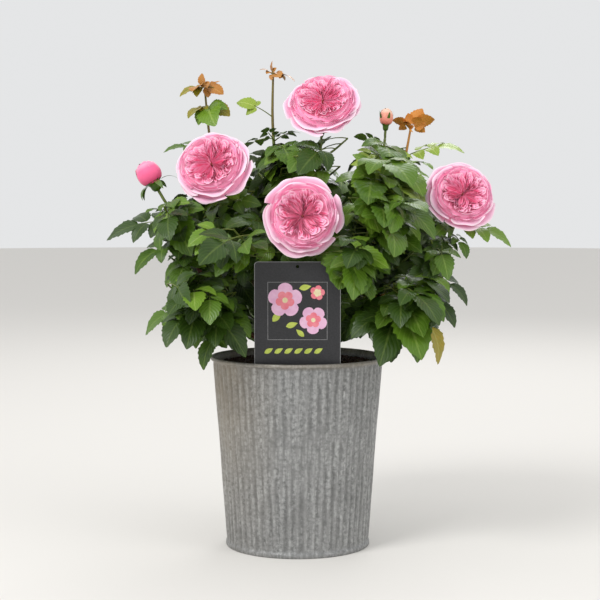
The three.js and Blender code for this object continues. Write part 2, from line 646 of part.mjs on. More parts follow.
// Each piece has its own origin: its place in the plant.
function addPiece(group, name, solid, look, place = [0, 0, 0]) {
  const own = solid.translate(place.map((x) => -x));
  const mesh = new THREE.Mesh(geometryOf(own), new THREE.MeshStandardMaterial(looks[look]));
  mesh.name = name;
  mesh.position.set(...place);
  group.add(mesh);
}

const planter = new THREE.Group();
addPiece(planter, "pot", potSolid(), "zinc");
addPiece(planter, "soil", soilSolid(), "compost", [0, 0, potFloor + clearGap]);
addPiece(planter, "plant_label", labelSolid(), "card", [0, cardY, soilTop]);

const bush = new THREE.Group();
bush.position.z = soilTop;
const fromSoil = ([x, y, z]) => [x, y, z - soilTop];
function addGrown(name, solid, look, foot) {
  addPiece(bush, name, solid.translate(0, 0, -soilTop), look, fromSoil(foot));
}
addGrown("stem_base", knobSolid(0), "bark", [0, 0, soilTop + clearGap]);
for (const mass of masses) {
  addGrown("cane_" + mass.name, caneSolid(mass), "bark", mass.cane[0].toArray());
  addGrown("foliage_" + mass.name, massSolid(mass), "leaf", mass.fork);
}
for (const bloom of blooms) addGrown(bloom.name, bloomSolid(bloom), "petal", bloom.centre);
for (const bud of buds) addGrown(bud.name, budSolid(bud), "petal", bud.centre);

const plant = new THREE.Group();
plant.add(planter, bush);

export default plant;
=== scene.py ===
# A potted bush rose in bloom. Blender objects are in metres, +Z up, the pot stands on z = 0 and -Y is the front.
# The plant is worked out in millimetres, with the same draws as the solids, and scaled when a mesh is made.
import math
import bpy
import bmesh
import numpy as np
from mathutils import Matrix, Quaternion, Vector


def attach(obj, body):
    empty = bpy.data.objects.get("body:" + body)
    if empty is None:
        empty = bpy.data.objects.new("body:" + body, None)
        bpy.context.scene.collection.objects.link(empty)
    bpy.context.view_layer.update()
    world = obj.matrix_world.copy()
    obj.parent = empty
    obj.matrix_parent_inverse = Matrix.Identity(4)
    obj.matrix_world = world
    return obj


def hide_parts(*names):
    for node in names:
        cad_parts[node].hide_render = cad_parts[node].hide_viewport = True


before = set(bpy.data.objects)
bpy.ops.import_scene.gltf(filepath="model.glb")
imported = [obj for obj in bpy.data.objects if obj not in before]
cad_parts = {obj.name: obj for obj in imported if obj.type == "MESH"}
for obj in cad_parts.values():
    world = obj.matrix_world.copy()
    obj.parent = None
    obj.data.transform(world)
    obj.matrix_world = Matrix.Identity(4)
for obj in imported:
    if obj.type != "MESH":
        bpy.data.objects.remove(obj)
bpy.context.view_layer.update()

mm = 0.001
goldenAngle = 2.39996


# Small helpers for vectors and lines of points
def unit(vector):
    return vector / np.linalg.norm(vector)


def curvePoint(curve, t):
    foot, bend, tip = curve
    return (1 - t) ** 2 * foot + 2 * t * (1 - t) * bend + t * t * tip


def curvePoints(foot, bend, tip, steps):
    return np.array([curvePoint((foot, bend, tip), i / steps) for i in range(steps + 1)])


def curveTangent(curve, t):
    foot, bend, tip = curve
    return unit((1 - t) * (bend - foot) + t * (tip - bend))


def pointOn(line, share):
    step = min(int(share * (len(line) - 1)), len(line) - 2)
    return line[step] + (line[step + 1] - line[step]) * (share * (len(line) - 1) - step)


def turnAbout(vector, axis, angle):
    return vector * math.cos(angle) + np.cross(axis, vector) * math.sin(angle)


def smoothLine(line, steps):
    # Catmull-Rom through every point, so what roots on the line still meets it
    padded = np.vstack([2 * line[0] - line[1], line, 2 * line[-1] - line[-2]])
    made = []
    for i in range(1, len(padded) - 2):
        a, b, c, d = padded[i - 1:i + 3]
        for t in np.arange(steps) / steps:
            made.append(0.5 * (2 * b + (c - a) * t + (2 * a - 5 * b + 4 * c - d) * t ** 2
                               + (3 * b - a - 3 * c + d) * t ** 3))
    made.append(line[-1])
    return np.array(made)


def seeded(seed):
    state = [seed]

    def draw():
        state[0] = (state[0] * 1664525 + 1013904223) % 4294967296
        return state[0] / 4294967296
    return draw


# Node helpers
def addNode(tree, kind, inputs=None, **settings):
    made = tree.nodes.new(kind)
    for key, value in settings.items():
        setattr(made, key, value)
    for key, value in (inputs or {}).items():
        if isinstance(value, bpy.types.NodeSocket):
            tree.links.new(value, made.inputs[key])
        else:
            made.inputs[key].default_value = value
    return made


def calc(tree, operation, *values):
    return addNode(tree, "ShaderNodeMath", dict(enumerate(values)), operation=operation).outputs[0]


def colour(red, green, blue):
    # display values from 0 to 255, made linear
    shares = [x / 255 for x in (red, green, blue)]
    return tuple(x / 12.92 if x < 0.04045 else ((x + 0.055) / 1.055) ** 2.4 for x in shares) + (1.0,)


def mixColour(tree, share, first, second, blend="MIX"):
    made = addNode(tree, "ShaderNodeMix", {"Factor": share}, data_type="RGBA", blend_type=blend)
    for socket, value in ((made.inputs[6], first), (made.inputs[7], second)):
        if isinstance(value, bpy.types.NodeSocket):
            tree.links.new(value, socket)
        else:
            socket.default_value = value
    return made.outputs[2]


def span(tree, value, low, high, toLow=0.0, toHigh=1.0):
    return addNode(tree, "ShaderNodeMapRange", {"Value": value, "From Min": low, "From Max": high,
                                                "To Min": toLow, "To Max": toHigh}).outputs["Result"]


def newGroup(name, inputs, outputs):
    group = bpy.data.node_groups.new(name, "ShaderNodeTree")
    for direction, sockets in (("INPUT", inputs), ("OUTPUT", outputs)):
        for socketName, kind in sockets:
            group.interface.new_socket(name=socketName, in_out=direction, socket_type="NodeSocket" + kind)
    return group, group.nodes.new("NodeGroupInput").outputs, group.nodes.new("NodeGroupOutput")


# Shader groups that several finishes share
def mottleGroup():
    group, given, out = newGroup(
        "mottle", [("Vector", "Vector"), ("Scale", "Float"), ("Low", "Float"), ("High", "Float"),
                   ("First", "Color"), ("Second", "Color")],
        [("Color", "Color"), ("Mask", "Float")])
    noise = addNode(group, "ShaderNodeTexNoise", {"Vector": given["Vector"], "Scale": given["Scale"], "Detail": 4.0,
                                                  "Roughness": 0.6})
    mask = span(group, noise.outputs["Fac"], given["Low"], given["High"])
    group.links.new(mask, out.inputs["Mask"])
    group.links.new(mixColour(group, mask, given["First"], given["Second"]), out.inputs["Color"])
    return group


def streakGroup():
    group, given, out = newGroup(
        "streaks", [("Vector", "Vector"), ("Across", "Float"), ("Along", "Float"), ("Low", "Float"),
                    ("High", "Float")], [("Mask", "Float")])
    scale = addNode(group, "ShaderNodeCombineXYZ", {"X": given["Across"], "Y": given["Across"], "Z": given["Along"]})
    drawn = addNode(group, "ShaderNodeVectorMath", {0: given["Vector"], 1: scale.outputs[0]}, operation="MULTIPLY")
    noise = addNode(group, "ShaderNodeTexNoise", {"Vector": drawn.outputs[0], "Scale": 1.0, "Detail": 3.0})
    group.links.new(span(group, noise.outputs["Fac"], given["Low"], given["High"]), out.inputs["Mask"])
    return group


def veinGroup():
    # a midrib and side veins that run out and forward, in the leaflet's own UV map
    group, given, out = newGroup("veins", [("UV", "Vector"), ("Pairs", "Float"), ("Forward", "Float")],
                                 [("Midrib", "Float"), ("Sides", "Float"), ("Swell", "Float")])
    parts = addNode(group, "ShaderNodeSeparateXYZ", {"Vector": given["UV"]})
    aside = calc(group, "ABSOLUTE", calc(group, "SUBTRACT", parts.outputs["X"], 0.5))
    group.links.new(span(group, aside, 0.025, 0.05, 1.0, 0.0), out.inputs["Midrib"])
    phase = calc(group, "SUBTRACT", parts.outputs["Y"], calc(group, "MULTIPLY", aside, given["Forward"]))
    wave = calc(group, "PINGPONG", calc(group, "MULTIPLY", phase, given["Pairs"]), 0.5)
    group.links.new(span(group, wave, 0.03, 0.1, 1.0, 0.0), out.inputs["Sides"])
    group.links.new(wave, out.inputs["Swell"])
    return group


groups = {"mottle": mottleGroup(), "streaks": streakGroup(), "veins": veinGroup()}


def useGroup(tree, name, **inputs):
    node = tree.nodes.new("ShaderNodeGroup")
    node.node_tree = groups[name]
    for key, value in inputs.items():
        if isinstance(value, bpy.types.NodeSocket):
            tree.links.new(value, node.inputs[key])
        else:
            node.inputs[key].default_value = value
    return node.outputs


def newMaterial(name, **sockets):
    material = bpy.data.materials.new(name)
    material.use_nodes = True
    tree = material.node_tree
    shader = tree.nodes["Principled BSDF"]
    for key, value in sockets.items():
        shader.inputs[key.replace("_", " ")].default_value = value
    place = tree.nodes.new("ShaderNodeTexCoord")
    return material, tree, shader, place.outputs


def bump(tree, shader, height, strength, distance):
    made = addNode(tree, "ShaderNodeBump", {"Height": height, "Strength": strength, "Distance": distance})
    tree.links.new(made.outputs[0], shader.inputs["Normal"])


# Finishes
# the darker groove tone is painted shade and the lighter crest tone a painted highlight across the ribs; the rest are
# the zinc's own colours
zinc = {"groove": colour(98, 99, 98), "crestHighlight": colour(158, 158, 157), "worn": colour(196, 197, 196),
        "tan": colour(146, 131, 106), "roughness": 0.5}


def zincFinish():
    material, tree, shader, place = newMaterial("weatheredZinc", Metallic=0.35)
    spot = place["Object"]
    crestHighlight = addNode(tree, "ShaderNodeAttribute", attribute_name="crestHighlight").outputs["Fac"]
    cloud = useGroup(tree, "mottle", Vector=spot, Scale=16.0, Low=0.32, High=0.68, First=(0, 0, 0, 1),
                     Second=(1, 1, 1, 1))["Mask"]
    fine = useGroup(tree, "mottle", Vector=spot, Scale=240.0, Low=0.35, High=0.7, First=(0, 0, 0, 1),
                    Second=(1, 1, 1, 1))["Mask"]
    streak = useGroup(tree, "streaks", Vector=spot, Across=320.0, Along=9.0, Low=0.4, High=0.72)["Mask"]
    # lighter on the rib crests and darker in the grooves: painted highlight and painted shade, laid over the zinc's own
    # mottle
    lightness = calc(tree, "ADD", calc(tree, "MULTIPLY", crestHighlight, 0.46),
                     calc(tree, "ADD", calc(tree, "MULTIPLY", cloud, 0.2), calc(tree, "MULTIPLY", fine, 0.32)))
    base = mixColour(tree, lightness, zinc["groove"], zinc["crestHighlight"])
    worn = mixColour(tree, calc(tree, "MULTIPLY", calc(tree, "MULTIPLY", streak, fine), 0.8), base, zinc["worn"])
    parts = addNode(tree, "ShaderNodeSeparateXYZ", {"Vector": spot})
    left = span(tree, parts.outputs["X"], -0.02, -0.08)
    high = span(tree, parts.outputs["Z"], 0.04, 0.2, 0.25, 1.0)
    rim = span(tree, parts.outputs["Z"], 0.232, 0.2365, 0.0, 0.45)
    tint = calc(tree, "MAXIMUM", rim, calc(tree, "MULTIPLY", calc(tree, "MULTIPLY", left, high), 0.5))
    tree.links.new(mixColour(tree, calc(tree, "MULTIPLY", tint, span(tree, cloud, 0, 1, 0.6, 1.0)), worn,
                             zinc["tan"]), shader.inputs["Base Color"])
    tree.links.new(span(tree, fine, 0, 1, zinc["roughness"] + 0.12, zinc["roughness"] - 0.06),
                   shader.inputs["Roughness"])
    bump(tree, shader, fine, 0.25, 0.0004)
    return material


compost = {"dark": colour(38, 25, 22), "light": colour(84, 60, 48)}


def compostFinish():
    material, tree, shader, place = newMaterial("compost", Roughness=0.95)
    grain = useGroup(tree, "mottle", Vector=place["Object"], Scale=240.0, Low=0.3, High=0.75, First=compost["dark"],
                     Second=compost["light"])
    tree.links.new(grain["Color"], shader.inputs["Base Color"])
    bump(tree, shader, grain["Mask"], 0.6, 0.001)
    return material


def plainFinish(name, first, second, scale, depth, roughness):
    # a matt coloured surface with a slight mottle and grain
    material, tree, shader, place = newMaterial(name, Roughness=roughness)
    grain = useGroup(tree, "mottle", Vector=place["Object"], Scale=scale, Low=0.3, High=0.7, First=first,
                     Second=second)
    tree.links.new(grain["Color"], shader.inputs["Base Color"])
    bump(tree, shader, grain["Mask"], 0.3, depth)
    return material


def barkFinish(name, dark, light, fleck):
    material, tree, shader, place = newMaterial(name, Roughness=0.62)
    grain = useGroup(tree, "mottle", Vector=place["Object"], Scale=90.0, Low=0.3, High=0.7, First=dark, Second=light)
    lines = useGroup(tree, "streaks", Vector=place["Object"], Across=900.0, Along=110.0, Low=0.5, High=0.75)["Mask"]
    tree.links.new(mixColour(tree, calc(tree, "MULTIPLY", lines, 0.5), grain["Color"], fleck),
                   shader.inputs["Base Color"])
    bump(tree, shader, lines, 0.5, 0.0006)
    return material


def leafFinish(name, dark, light, vein, under, roughness=0.34):
    material, tree, shader, place = newMaterial(name, Specular_IOR_Level=0.36)
    tone = addNode(tree, "ShaderNodeAttribute", attribute_name="tone").outputs["Fac"]
    cloud = useGroup(tree, "mottle", Vector=place["Object"], Scale=70.0, Low=0.3, High=0.7, First=dark, Second=light)
    veins = useGroup(tree, "veins", UV=place["UV"], Pairs=7.0, Forward=0.9)
    blade = mixColour(tree, tone, cloud["Color"], light)
    blade = mixColour(tree, calc(tree, "MULTIPLY", veins["Sides"], 0.22), blade, vein)
    blade = mixColour(tree, calc(tree, "MULTIPLY", veins["Midrib"], 0.5), blade, vein)
    back = tree.nodes.new("ShaderNodeNewGeometry").outputs["Backfacing"]
    tree.links.new(mixColour(tree, back, blade, under), shader.inputs["Base Color"])
    tree.links.new(span(tree, cloud["Mask"], 0, 1, roughness - 0.05, roughness + 0.1), shader.inputs["Roughness"])
    bump(tree, shader, veins["Swell"], 0.35, 0.0012)
    return material


petalRim = 0.8  # the share of a petal's length where its pale rim starts


def petalFinish(name, heart, blade, rim):
    # from the root of the petal to its rim, with faint veins along it
    material, tree, shader, place = newMaterial(name, Roughness=0.58, Sheen_Weight=0.15)
    parts = addNode(tree, "ShaderNodeSeparateXYZ", {"Vector": place["UV"]})
    rise = parts.outputs["Y"]
    cloud = useGroup(tree, "mottle", Vector=place["Object"], Scale=60.0, Low=0.3, High=0.7, First=(0, 0, 0, 1),
                     Second=(1, 1, 1, 1))["Mask"]
    clouded = calc(tree, "ADD", rise, calc(tree, "MULTIPLY", cloud, 0.15))
    base = mixColour(tree, span(tree, clouded, 0.2, petalRim), heart, blade)
    base = mixColour(tree, span(tree, rise, petalRim, 1.0), base, rim)
    lines = calc(tree, "PINGPONG", calc(tree, "MULTIPLY", parts.outputs["X"], 22.0), 0.5)
    tree.links.new(mixColour(tree, calc(tree, "MULTIPLY", lines, 0.14), base, heart), shader.inputs["Base Color"])
    bump(tree, shader, lines, 0.12, 0.0006)
    return material


plainColours = {  # darker and lighter tone, scale of the mottle, depth of the grain, roughness
    "charcoalCard": ((30, 30, 33), (44, 44, 47), 500.0, 0.0001, 0.42),
    "cardEdge": ((120, 120, 122), (150, 150, 150), 300.0, 0.0001, 0.5),
    "lilacInk": ((226, 170, 206), (240, 196, 222), 130.0, 0.0001, 0.45),
    "coralInk": ((232, 110, 130), (242, 146, 156), 130.0, 0.0001, 0.45),
    "creamInk": ((226, 208, 160), (240, 228, 190), 200.0, 0.0001, 0.45),
    "limeInk": ((170, 186, 70), (196, 208, 96), 200.0, 0.0001, 0.45),
    "greenStem": ((76, 92, 28), (112, 126, 48), 90.0, 0.0004, 0.5),
    "youngStem": ((104, 96, 38), (128, 112, 52), 90.0, 0.0004, 0.5),
    "orangeStem": ((170, 112, 34), (196, 136, 50), 90.0, 0.0004, 0.5),
    "prickle": ((120, 56, 40), (150, 84, 58), 200.0, 0.0002, 0.45),
    "bloomEye": ((96, 26, 34), (150, 60, 50), 900.0, 0.0004, 0.7),
}
barkColours = {  # dark, light and fleck
    "caneBark": ((72, 62, 36), (104, 96, 52), (134, 120, 88)),
    "redCaneBark": ((84, 44, 32), (112, 70, 44), (140, 110, 84)),
}
leafColours = {  # dark and light of the upper side, veins, underside
    "leafDark": ((28, 48, 10), (50, 76, 18), (94, 114, 50), (66, 88, 40)),
    "leafMid": ((46, 76, 12), (80, 112, 26), (122, 146, 66), (88, 114, 52)),
    "leafBright": ((68, 102, 18), (108, 142, 38), (150, 174, 86), (108, 138, 60)),
    "leafYoung": ((104, 134, 36), (146, 170, 62), (184, 198, 112), (142, 166, 82)),
    "leafOlive": ((112, 122, 24), (162, 138, 36), (176, 172, 86), (150, 150, 70)),
    "leafBronze": ((158, 100, 36), (186, 126, 56), (200, 158, 90), (166, 128, 76)),
    "leafGold": ((214, 128, 28), (230, 158, 50), (238, 190, 98), (208, 140, 62)),
}
petalColours = {  # root, blade and rim
    "petalOuter": ((244, 160, 200), (245, 192, 218), (253, 230, 240)),
    "petalMiddle": ((246, 140, 186), (249, 178, 210), (253, 220, 233)),
    "petalInner": ((248, 114, 162), (253, 170, 204), (255, 218, 231)),
    "petalBud": ((224, 72, 120), (246, 104, 152), (250, 164, 194)),
    "petalSalmon": ((226, 120, 104), (240, 164, 140), (248, 214, 190)),
}
finishes = {"zinc": zincFinish(), "compost": compostFinish()}
for name, (first, second, *numbers) in plainColours.items():
    finishes[name] = plainFinish(name, colour(*first), colour(*second), *numbers)
for table, makeFinish in ((barkColours, barkFinish), (leafColours, leafFinish), (petalColours, petalFinish)):
    for name, tones in table.items():
        finishes[name] = makeFinish(name, *[colour(*tone) for tone in tones])
print("finishes ready")


# Pieces: a mesh becomes an object that rides on the one body
def finishPiece(name, mesh, replaced=(), material=None):
    if material:
        mesh.materials.clear()
        mesh.materials.append(finishes[material])
    piece = bpy.data.objects.new(name, mesh)
    bpy.context.scene.collection.objects.link(piece)
    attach(piece, "root")
    if replaced:
        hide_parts(*replaced)
    return piece


def meshFrom(name, points, faces, uvs=None, tone=None):
    mesh = bpy.data.meshes.new(name)
    mesh.from_pydata((np.asarray(points) * mm).tolist(), [], faces)
    if uvs is not None:
        layer = mesh.uv_layers.new(name="UVMap")
        corners = np.empty(len(mesh.loops), dtype=np.int32)
        mesh.loops.foreach_get("vertex_index", corners)
        layer.data.foreach_set("uv", np.asarray(uvs, dtype=np.float32)[corners].ravel())
    if tone is not None:
        mesh.attributes.new("tone", "FLOAT", "POINT").data.foreach_set("value", np.asarray(tone, dtype=np.float32))
    mesh.polygons.foreach_set("use_smooth", np.full(len(mesh.polygons), True))
    mesh.update()
    return mesh


class Patches:
    # meshes gathered into one before they become a piece
    def __init__(self):
        self.points, self.faces, self.uvs, self.tones, self.count = [], [], [], [], 0

    def add(self, points, faces, uvs=None, tone=0.0):
        self.faces.extend([tuple(corner + self.count for corner in face) for face in faces])
        self.points.append(np.asarray(points))
        self.uvs.append(np.zeros((len(points), 2)) if uvs is None else np.asarray(uvs))
        self.tones.append(np.full(len(points), tone))
        self.count += len(points)

    def mesh(self, name):
        return meshFrom(name, np.vstack(self.points), self.faces, np.vstack(self.uvs), np.concatenate(self.tones))


def gridFaces(rows, columns, flip=False):
    faces = []
    for i in range(rows - 1):
        for j in range(columns - 1):
            a = i * columns + j
            face = (a, a + 1, a + columns + 1, a + columns)
            faces.append(face[::-1] if flip else face)
    return faces


# Geometry Nodes helpers
def newTree(name, inputs):
    tree = bpy.data.node_groups.new(name, "GeometryNodeTree")
    tree.is_modifier = True
    tree.interface.new_socket(name="Geometry", in_out="INPUT", socket_type="NodeSocketGeometry")
    for socketName, kind in inputs:
        tree.interface.new_socket(name=socketName, in_out="INPUT", socket_type="NodeSocket" + kind)
    tree.interface.new_socket(name="Geometry", in_out="OUTPUT", socket_type="NodeSocketGeometry")
    return tree, tree.nodes.new("NodeGroupInput").outputs


def endTree(tree, geometry, material):
    plain = addNode(tree, "GeometryNodeRealizeInstances", {"Geometry": geometry})
    painted = addNode(tree, "GeometryNodeSetMaterial", {"Geometry": plain.outputs[0], "Material": material})
    out = tree.nodes.new("NodeGroupOutput")
    tree.links.new(painted.outputs[0], out.inputs[0])


def runTree(mesh, tree, **values):
    # the tree's result as a plain mesh; the carrier object and its modifier are removed
    carrier = bpy.data.objects.new("carrier", mesh)
    bpy.context.scene.collection.objects.link(carrier)
    modifier = carrier.modifiers.new("shape", "NODES")
    modifier.node_group = tree
    for item in tree.interface.items_tree:
        if item.in_out == "INPUT" and item.name in values:
            modifier[item.identifier] = values[item.name]
    graph = bpy.context.evaluated_depsgraph_get()
    made = bpy.data.meshes.new_from_object(carrier.evaluated_get(graph), preserve_all_data_layers=True,
                                           depsgraph=graph)
    carrier.modifiers.remove(modifier)
    bpy.data.objects.remove(carrier)
    return made


def faceOutwards(mesh):
    # points in one place are merged and every face is turned outwards
    work = bmesh.new()
    work.from_mesh(mesh)
    bmesh.ops.remove_doubles(work, verts=work.verts, dist=1e-6)
    bmesh.ops.recalc_face_normals(work, faces=work.faces)
    work.to_mesh(mesh)
    work.free()
    return mesh


# Pot: a profile turned round the axis, its wall pushed in and out into ribs by one tree
pot = {"height": 240.0, "topRadius": 106.5, "footRadius": 88.5, "wall": 2.0, "floor": 3.0, "ribs": 60, "ribDepth": 1.7,
       "stepsPerRib": 8, "rimRadius": 2.5, "rimCentre": (107.5, 237.4), "footOut": 2.4, "footHeight": 6.0,
       "wornBand": (98.0, 168.0), "wornDepth": 0.45}


def potRadius(z):
    return pot["footRadius"] + (pot["topRadius"] - pot["footRadius"]) * z / pot["height"]


def potProfile():
    # radius, height and how deep the ribs are there
    foot, out = pot["footRadius"], pot["footOut"]
    points = [(0, 0, 0), (30, 0, 0), (60, 0, 0), (foot - 2, 0, 0), (foot + out - 0.7, 0.1, 0), (foot + out, 1.2, 0),
              (foot + out, pot["footHeight"] - 1.4, 0), (foot + out - 0.8, pot["footHeight"] - 0.2, 0),
              (foot + 1.0, pot["footHeight"] + 0.2, 0.1), (foot + 0.8, 8.5, 0.6)]
    low, high = pot["wornBand"]
    for z in np.linspace(12, 229, 44):
        worn = math.exp(-((z - (low + high) / 2) / ((high - low) / 2)) ** 4)
        points.append((potRadius(z), z, 1 - (1 - pot["wornDepth"]) * worn))
    points += [(potRadius(232), 232, 0.6), (potRadius(234), 234, 0.1)]
    for angle in np.radians(np.arange(-80, 181, 29)):
        points.append((pot["rimCentre"][0] + pot["rimRadius"] * math.cos(angle),
                       pot["rimCentre"][1] + pot["rimRadius"] * math.sin(angle), 0))
    inner = [(potRadius(z) - 1 - pot["wall"], z, 0) for z in (235, 232, 228, 120, 4.5)]
    return points + inner + [(inner[-1][0] - 2, pot["floor"], 0), (40, pot["floor"], 0), (0, pot["floor"], 0)]


def ribTree():
    tree, given = newTree("ribbedLathe", [("Ribs", "Float"), ("Rib Depth", "Float"), ("Steps", "Int"),
                                          ("Rows", "Int"), ("Dents", "Float"), ("Material", "Material")])
    grid = addNode(tree, "GeometryNodeMeshGrid", {"Size X": 1.0, "Size Y": 1.0, "Vertices X": given["Steps"],
                                                  "Vertices Y": given["Rows"]})
    place = addNode(tree, "ShaderNodeSeparateXYZ",
                    {"Vector": tree.nodes.new("GeometryNodeInputPosition").outputs[0]}).outputs
    angle = calc(tree, "MULTIPLY", calc(tree, "ADD", place["X"], 0.5), 2 * math.pi)
    row = calc(tree, "ROUND", calc(tree, "MULTIPLY", calc(tree, "ADD", place["Y"], 0.5),
                                   calc(tree, "SUBTRACT", given["Rows"], 1.0)))
    index = addNode(tree, "FunctionNodeFloatToInt", {0: row}, rounding_mode="ROUND").outputs[0]
    profile = addNode(tree, "GeometryNodeSampleIndex", {
        "Geometry": given["Geometry"], "Index": index}, data_type="FLOAT_VECTOR")
    tree.links.new(tree.nodes.new("GeometryNodeInputPosition").outputs[0], profile.inputs["Value"])
    ribbed = addNode(tree, "GeometryNodeSampleIndex", {"Geometry": given["Geometry"], "Index": index})
    named = addNode(tree, "GeometryNodeInputNamedAttribute", {"Name": "ribbed"})
    tree.links.new(named.outputs["Attribute"], ribbed.inputs["Value"])
    spot = addNode(tree, "ShaderNodeSeparateXYZ", {"Vector": profile.outputs[0]}).outputs
    wave = calc(tree, "COSINE", calc(tree, "MULTIPLY", angle, given["Ribs"]))
    push = calc(tree, "MULTIPLY", calc(tree, "MULTIPLY", wave, ribbed.outputs[0]),
                calc(tree, "MULTIPLY", given["Rib Depth"], 0.5))
    around = [calc(tree, name, angle) for name in ("COSINE", "SINE")]
    soft = addNode(tree, "ShaderNodeCombineXYZ", {"X": around[0], "Y": around[1],
                                                  "Z": calc(tree, "MULTIPLY", spot["Z"], 9.0)})
    noise = addNode(tree, "ShaderNodeTexNoise", {"Vector": soft.outputs[0], "Scale": 1.3, "Detail": 2.0})
    dent = calc(tree, "MULTIPLY", calc(tree, "MULTIPLY", calc(tree, "SUBTRACT", noise.outputs["Fac"], 0.5),
                                       given["Dents"]), ribbed.outputs[0])
    radius = calc(tree, "ADD", calc(tree, "ADD", spot["X"], push), dent)
    turned = addNode(tree, "ShaderNodeCombineXYZ", {"X": calc(tree, "MULTIPLY", radius, around[0]),
                                                    "Y": calc(tree, "MULTIPLY", radius, around[1]), "Z": spot["Z"]})
    # a mask from 0 in the grooves to 1 on the rib crests, where the zinc finish paints shade and highlight
    crestHighlight = calc(tree, "MULTIPLY", calc(tree, "ADD", calc(tree, "MULTIPLY", wave, ribbed.outputs[0]), 1.0), 0.5)
    marked = addNode(tree, "GeometryNodeStoreNamedAttribute",
                     {"Geometry": grid.outputs["Mesh"], "Name": "crestHighlight", "Value": crestHighlight})
    shaped = addNode(tree, "GeometryNodeSetPosition", {"Geometry": marked.outputs[0], "Position": turned.outputs[0]})
    closed = addNode(tree, "GeometryNodeMergeByDistance", {"Geometry": shaped.outputs[0], "Distance": 0.00002})
    smooth = addNode(tree, "GeometryNodeSetShadeSmooth", {"Geometry": closed.outputs[0]})
    endTree(tree, smooth.outputs[0], given["Material"])
    return tree


def makePot():
    profile = potProfile()
    mesh = bpy.data.meshes.new("potProfile")
    mesh.from_pydata([(r * mm, 0, z * mm) for r, z, depth in profile], [(i, i + 1) for i in range(len(profile) - 1)],
                     [])
    mesh.attributes.new("ribbed", "FLOAT", "POINT").data.foreach_set("value", [depth for r, z, depth in profile])
    made = runTree(mesh, ribTree(), Ribs=float(pot["ribs"]), Steps=pot["ribs"] * pot["stepsPerRib"] + 1,
                   Rows=len(profile), Dents=0.9 * mm, Material=finishes["zinc"], **{"Rib Depth": pot["ribDepth"] * mm})
    finishPiece("ribbedPot", faceOutwards(made), ["pot"])
    print("pot", len(made.polygons), "faces")


makePot()


# Soil: a gently heaped bed with crumbs scattered over it
soil = {"top": 233.0, "edgeDrop": 3.0, "low": 3.3, "relief": 1.6, "crumbsPerSquareMetre": 42000.0,
        "crumbSize": (0.9, 2.6), "seed": 5}


def makeSoil():
    edge = potRadius(soil["top"] - soil["edgeDrop"]) - 1 - pot["wall"] - 0.7
    radii = np.linspace(edge, 3, 30)
    sides = 96
    angles = np.arange(sides) * 2 * math.pi / sides
    random = np.random.default_rng(soil["seed"])
    waves = random.uniform(-1, 1, (5, 3))
    points = []
    for radius in radii:
        x, y = radius * np.cos(angles), radius * np.sin(angles)
        lift = sum(math.sin(k) * np.sin(x / 9 * a + y / 11 * b + k) for k, (a, b) in enumerate(waves[:, :2], 1))
        share = min(1, (edge - radius) / 20)
        z = soil["top"] - soil["edgeDrop"] * (1 - share) - 1.2 + 0.5 * soil["relief"] * share * lift / 2
        points.append(np.column_stack([x, y, z]))
    points = np.vstack(points)
    faces = []
    for i in range(len(radii) - 1):
        for j in range(sides):
            a, b = i * sides + j, i * sides + (j + 1) % sides
            faces.append((a, b, b + sides, a + sides))
    faces.append(tuple(range((len(radii) - 1) * sides, len(radii) * sides)))
    skirt = len(points)
    bottom = potRadius(soil["low"]) - 1 - pot["wall"] - 1.2
    points = np.vstack([points, np.column_stack([bottom * np.cos(angles), bottom * np.sin(angles),
                                                 np.full(sides, soil["low"])])])
    for j in range(sides):
        faces.append((j, skirt + j, skirt + (j + 1) % sides, (j + 1) % sides))
    faces.append(tuple(range(skirt, skirt + sides))[::-1])
    bed = faceOutwards(meshFrom("soilBed", points, faces))
    finishPiece("soilBed", bed, ["soil"], "compost")
    top = meshFrom("soilTop", points[:skirt], [face for face in faces if max(face) < skirt])
    crumbs = runTree(top, crumbTree(), Density=soil["crumbsPerSquareMetre"], Smallest=soil["crumbSize"][0] * mm,
                     Largest=soil["crumbSize"][1] * mm, Seed=soil["seed"], Material=finishes["compost"])
    finishPiece("soilCrumbs", crumbs)
    print("soil", len(crumbs.polygons), "crumb faces")


def crumbTree():
    tree, given = newTree("scatteredCrumbs", [("Density", "Float"), ("Smallest", "Float"), ("Largest", "Float"),
                                              ("Seed", "Int"), ("Material", "Material")])
    spread = addNode(tree, "GeometryNodeDistributePointsOnFaces", {
        "Mesh": given["Geometry"], "Density": given["Density"], "Seed": given["Seed"]})
    ball = addNode(tree, "GeometryNodeMeshIcoSphere", {"Radius": 1.0, "Subdivisions": 1})
    size = addNode(tree, "FunctionNodeRandomValue", data_type="FLOAT_VECTOR")
    for i, (name, flat) in enumerate((("Smallest", 0.6), ("Largest", 1.0))):
        corner = addNode(tree, "ShaderNodeCombineXYZ", {
            "X": given[name], "Y": given[name], "Z": calc(tree, "MULTIPLY", given[name], flat)})
        tree.links.new(corner.outputs[0], size.inputs[i])
    tree.links.new(given["Seed"], size.inputs["Seed"])
    turn = addNode(tree, "FunctionNodeRandomValue", {0: (0, 0, 0), 1: (6.28, 6.28, 6.28)}, data_type="FLOAT_VECTOR")
    tree.links.new(given["Seed"], turn.inputs["Seed"])
    placed = addNode(tree, "GeometryNodeInstanceOnPoints", {"Points": spread.outputs["Points"],
                                                            "Instance": ball.outputs["Mesh"],
                                                            "Scale": size.outputs[0]})
    spun = addNode(tree, "FunctionNodeEulerToRotation", {"Euler": turn.outputs[0]})
    tree.links.new(spun.outputs[0], placed.inputs["Rotation"])
    endTree(tree, placed.outputs[0], given["Material"])
    return tree


makeSoil()


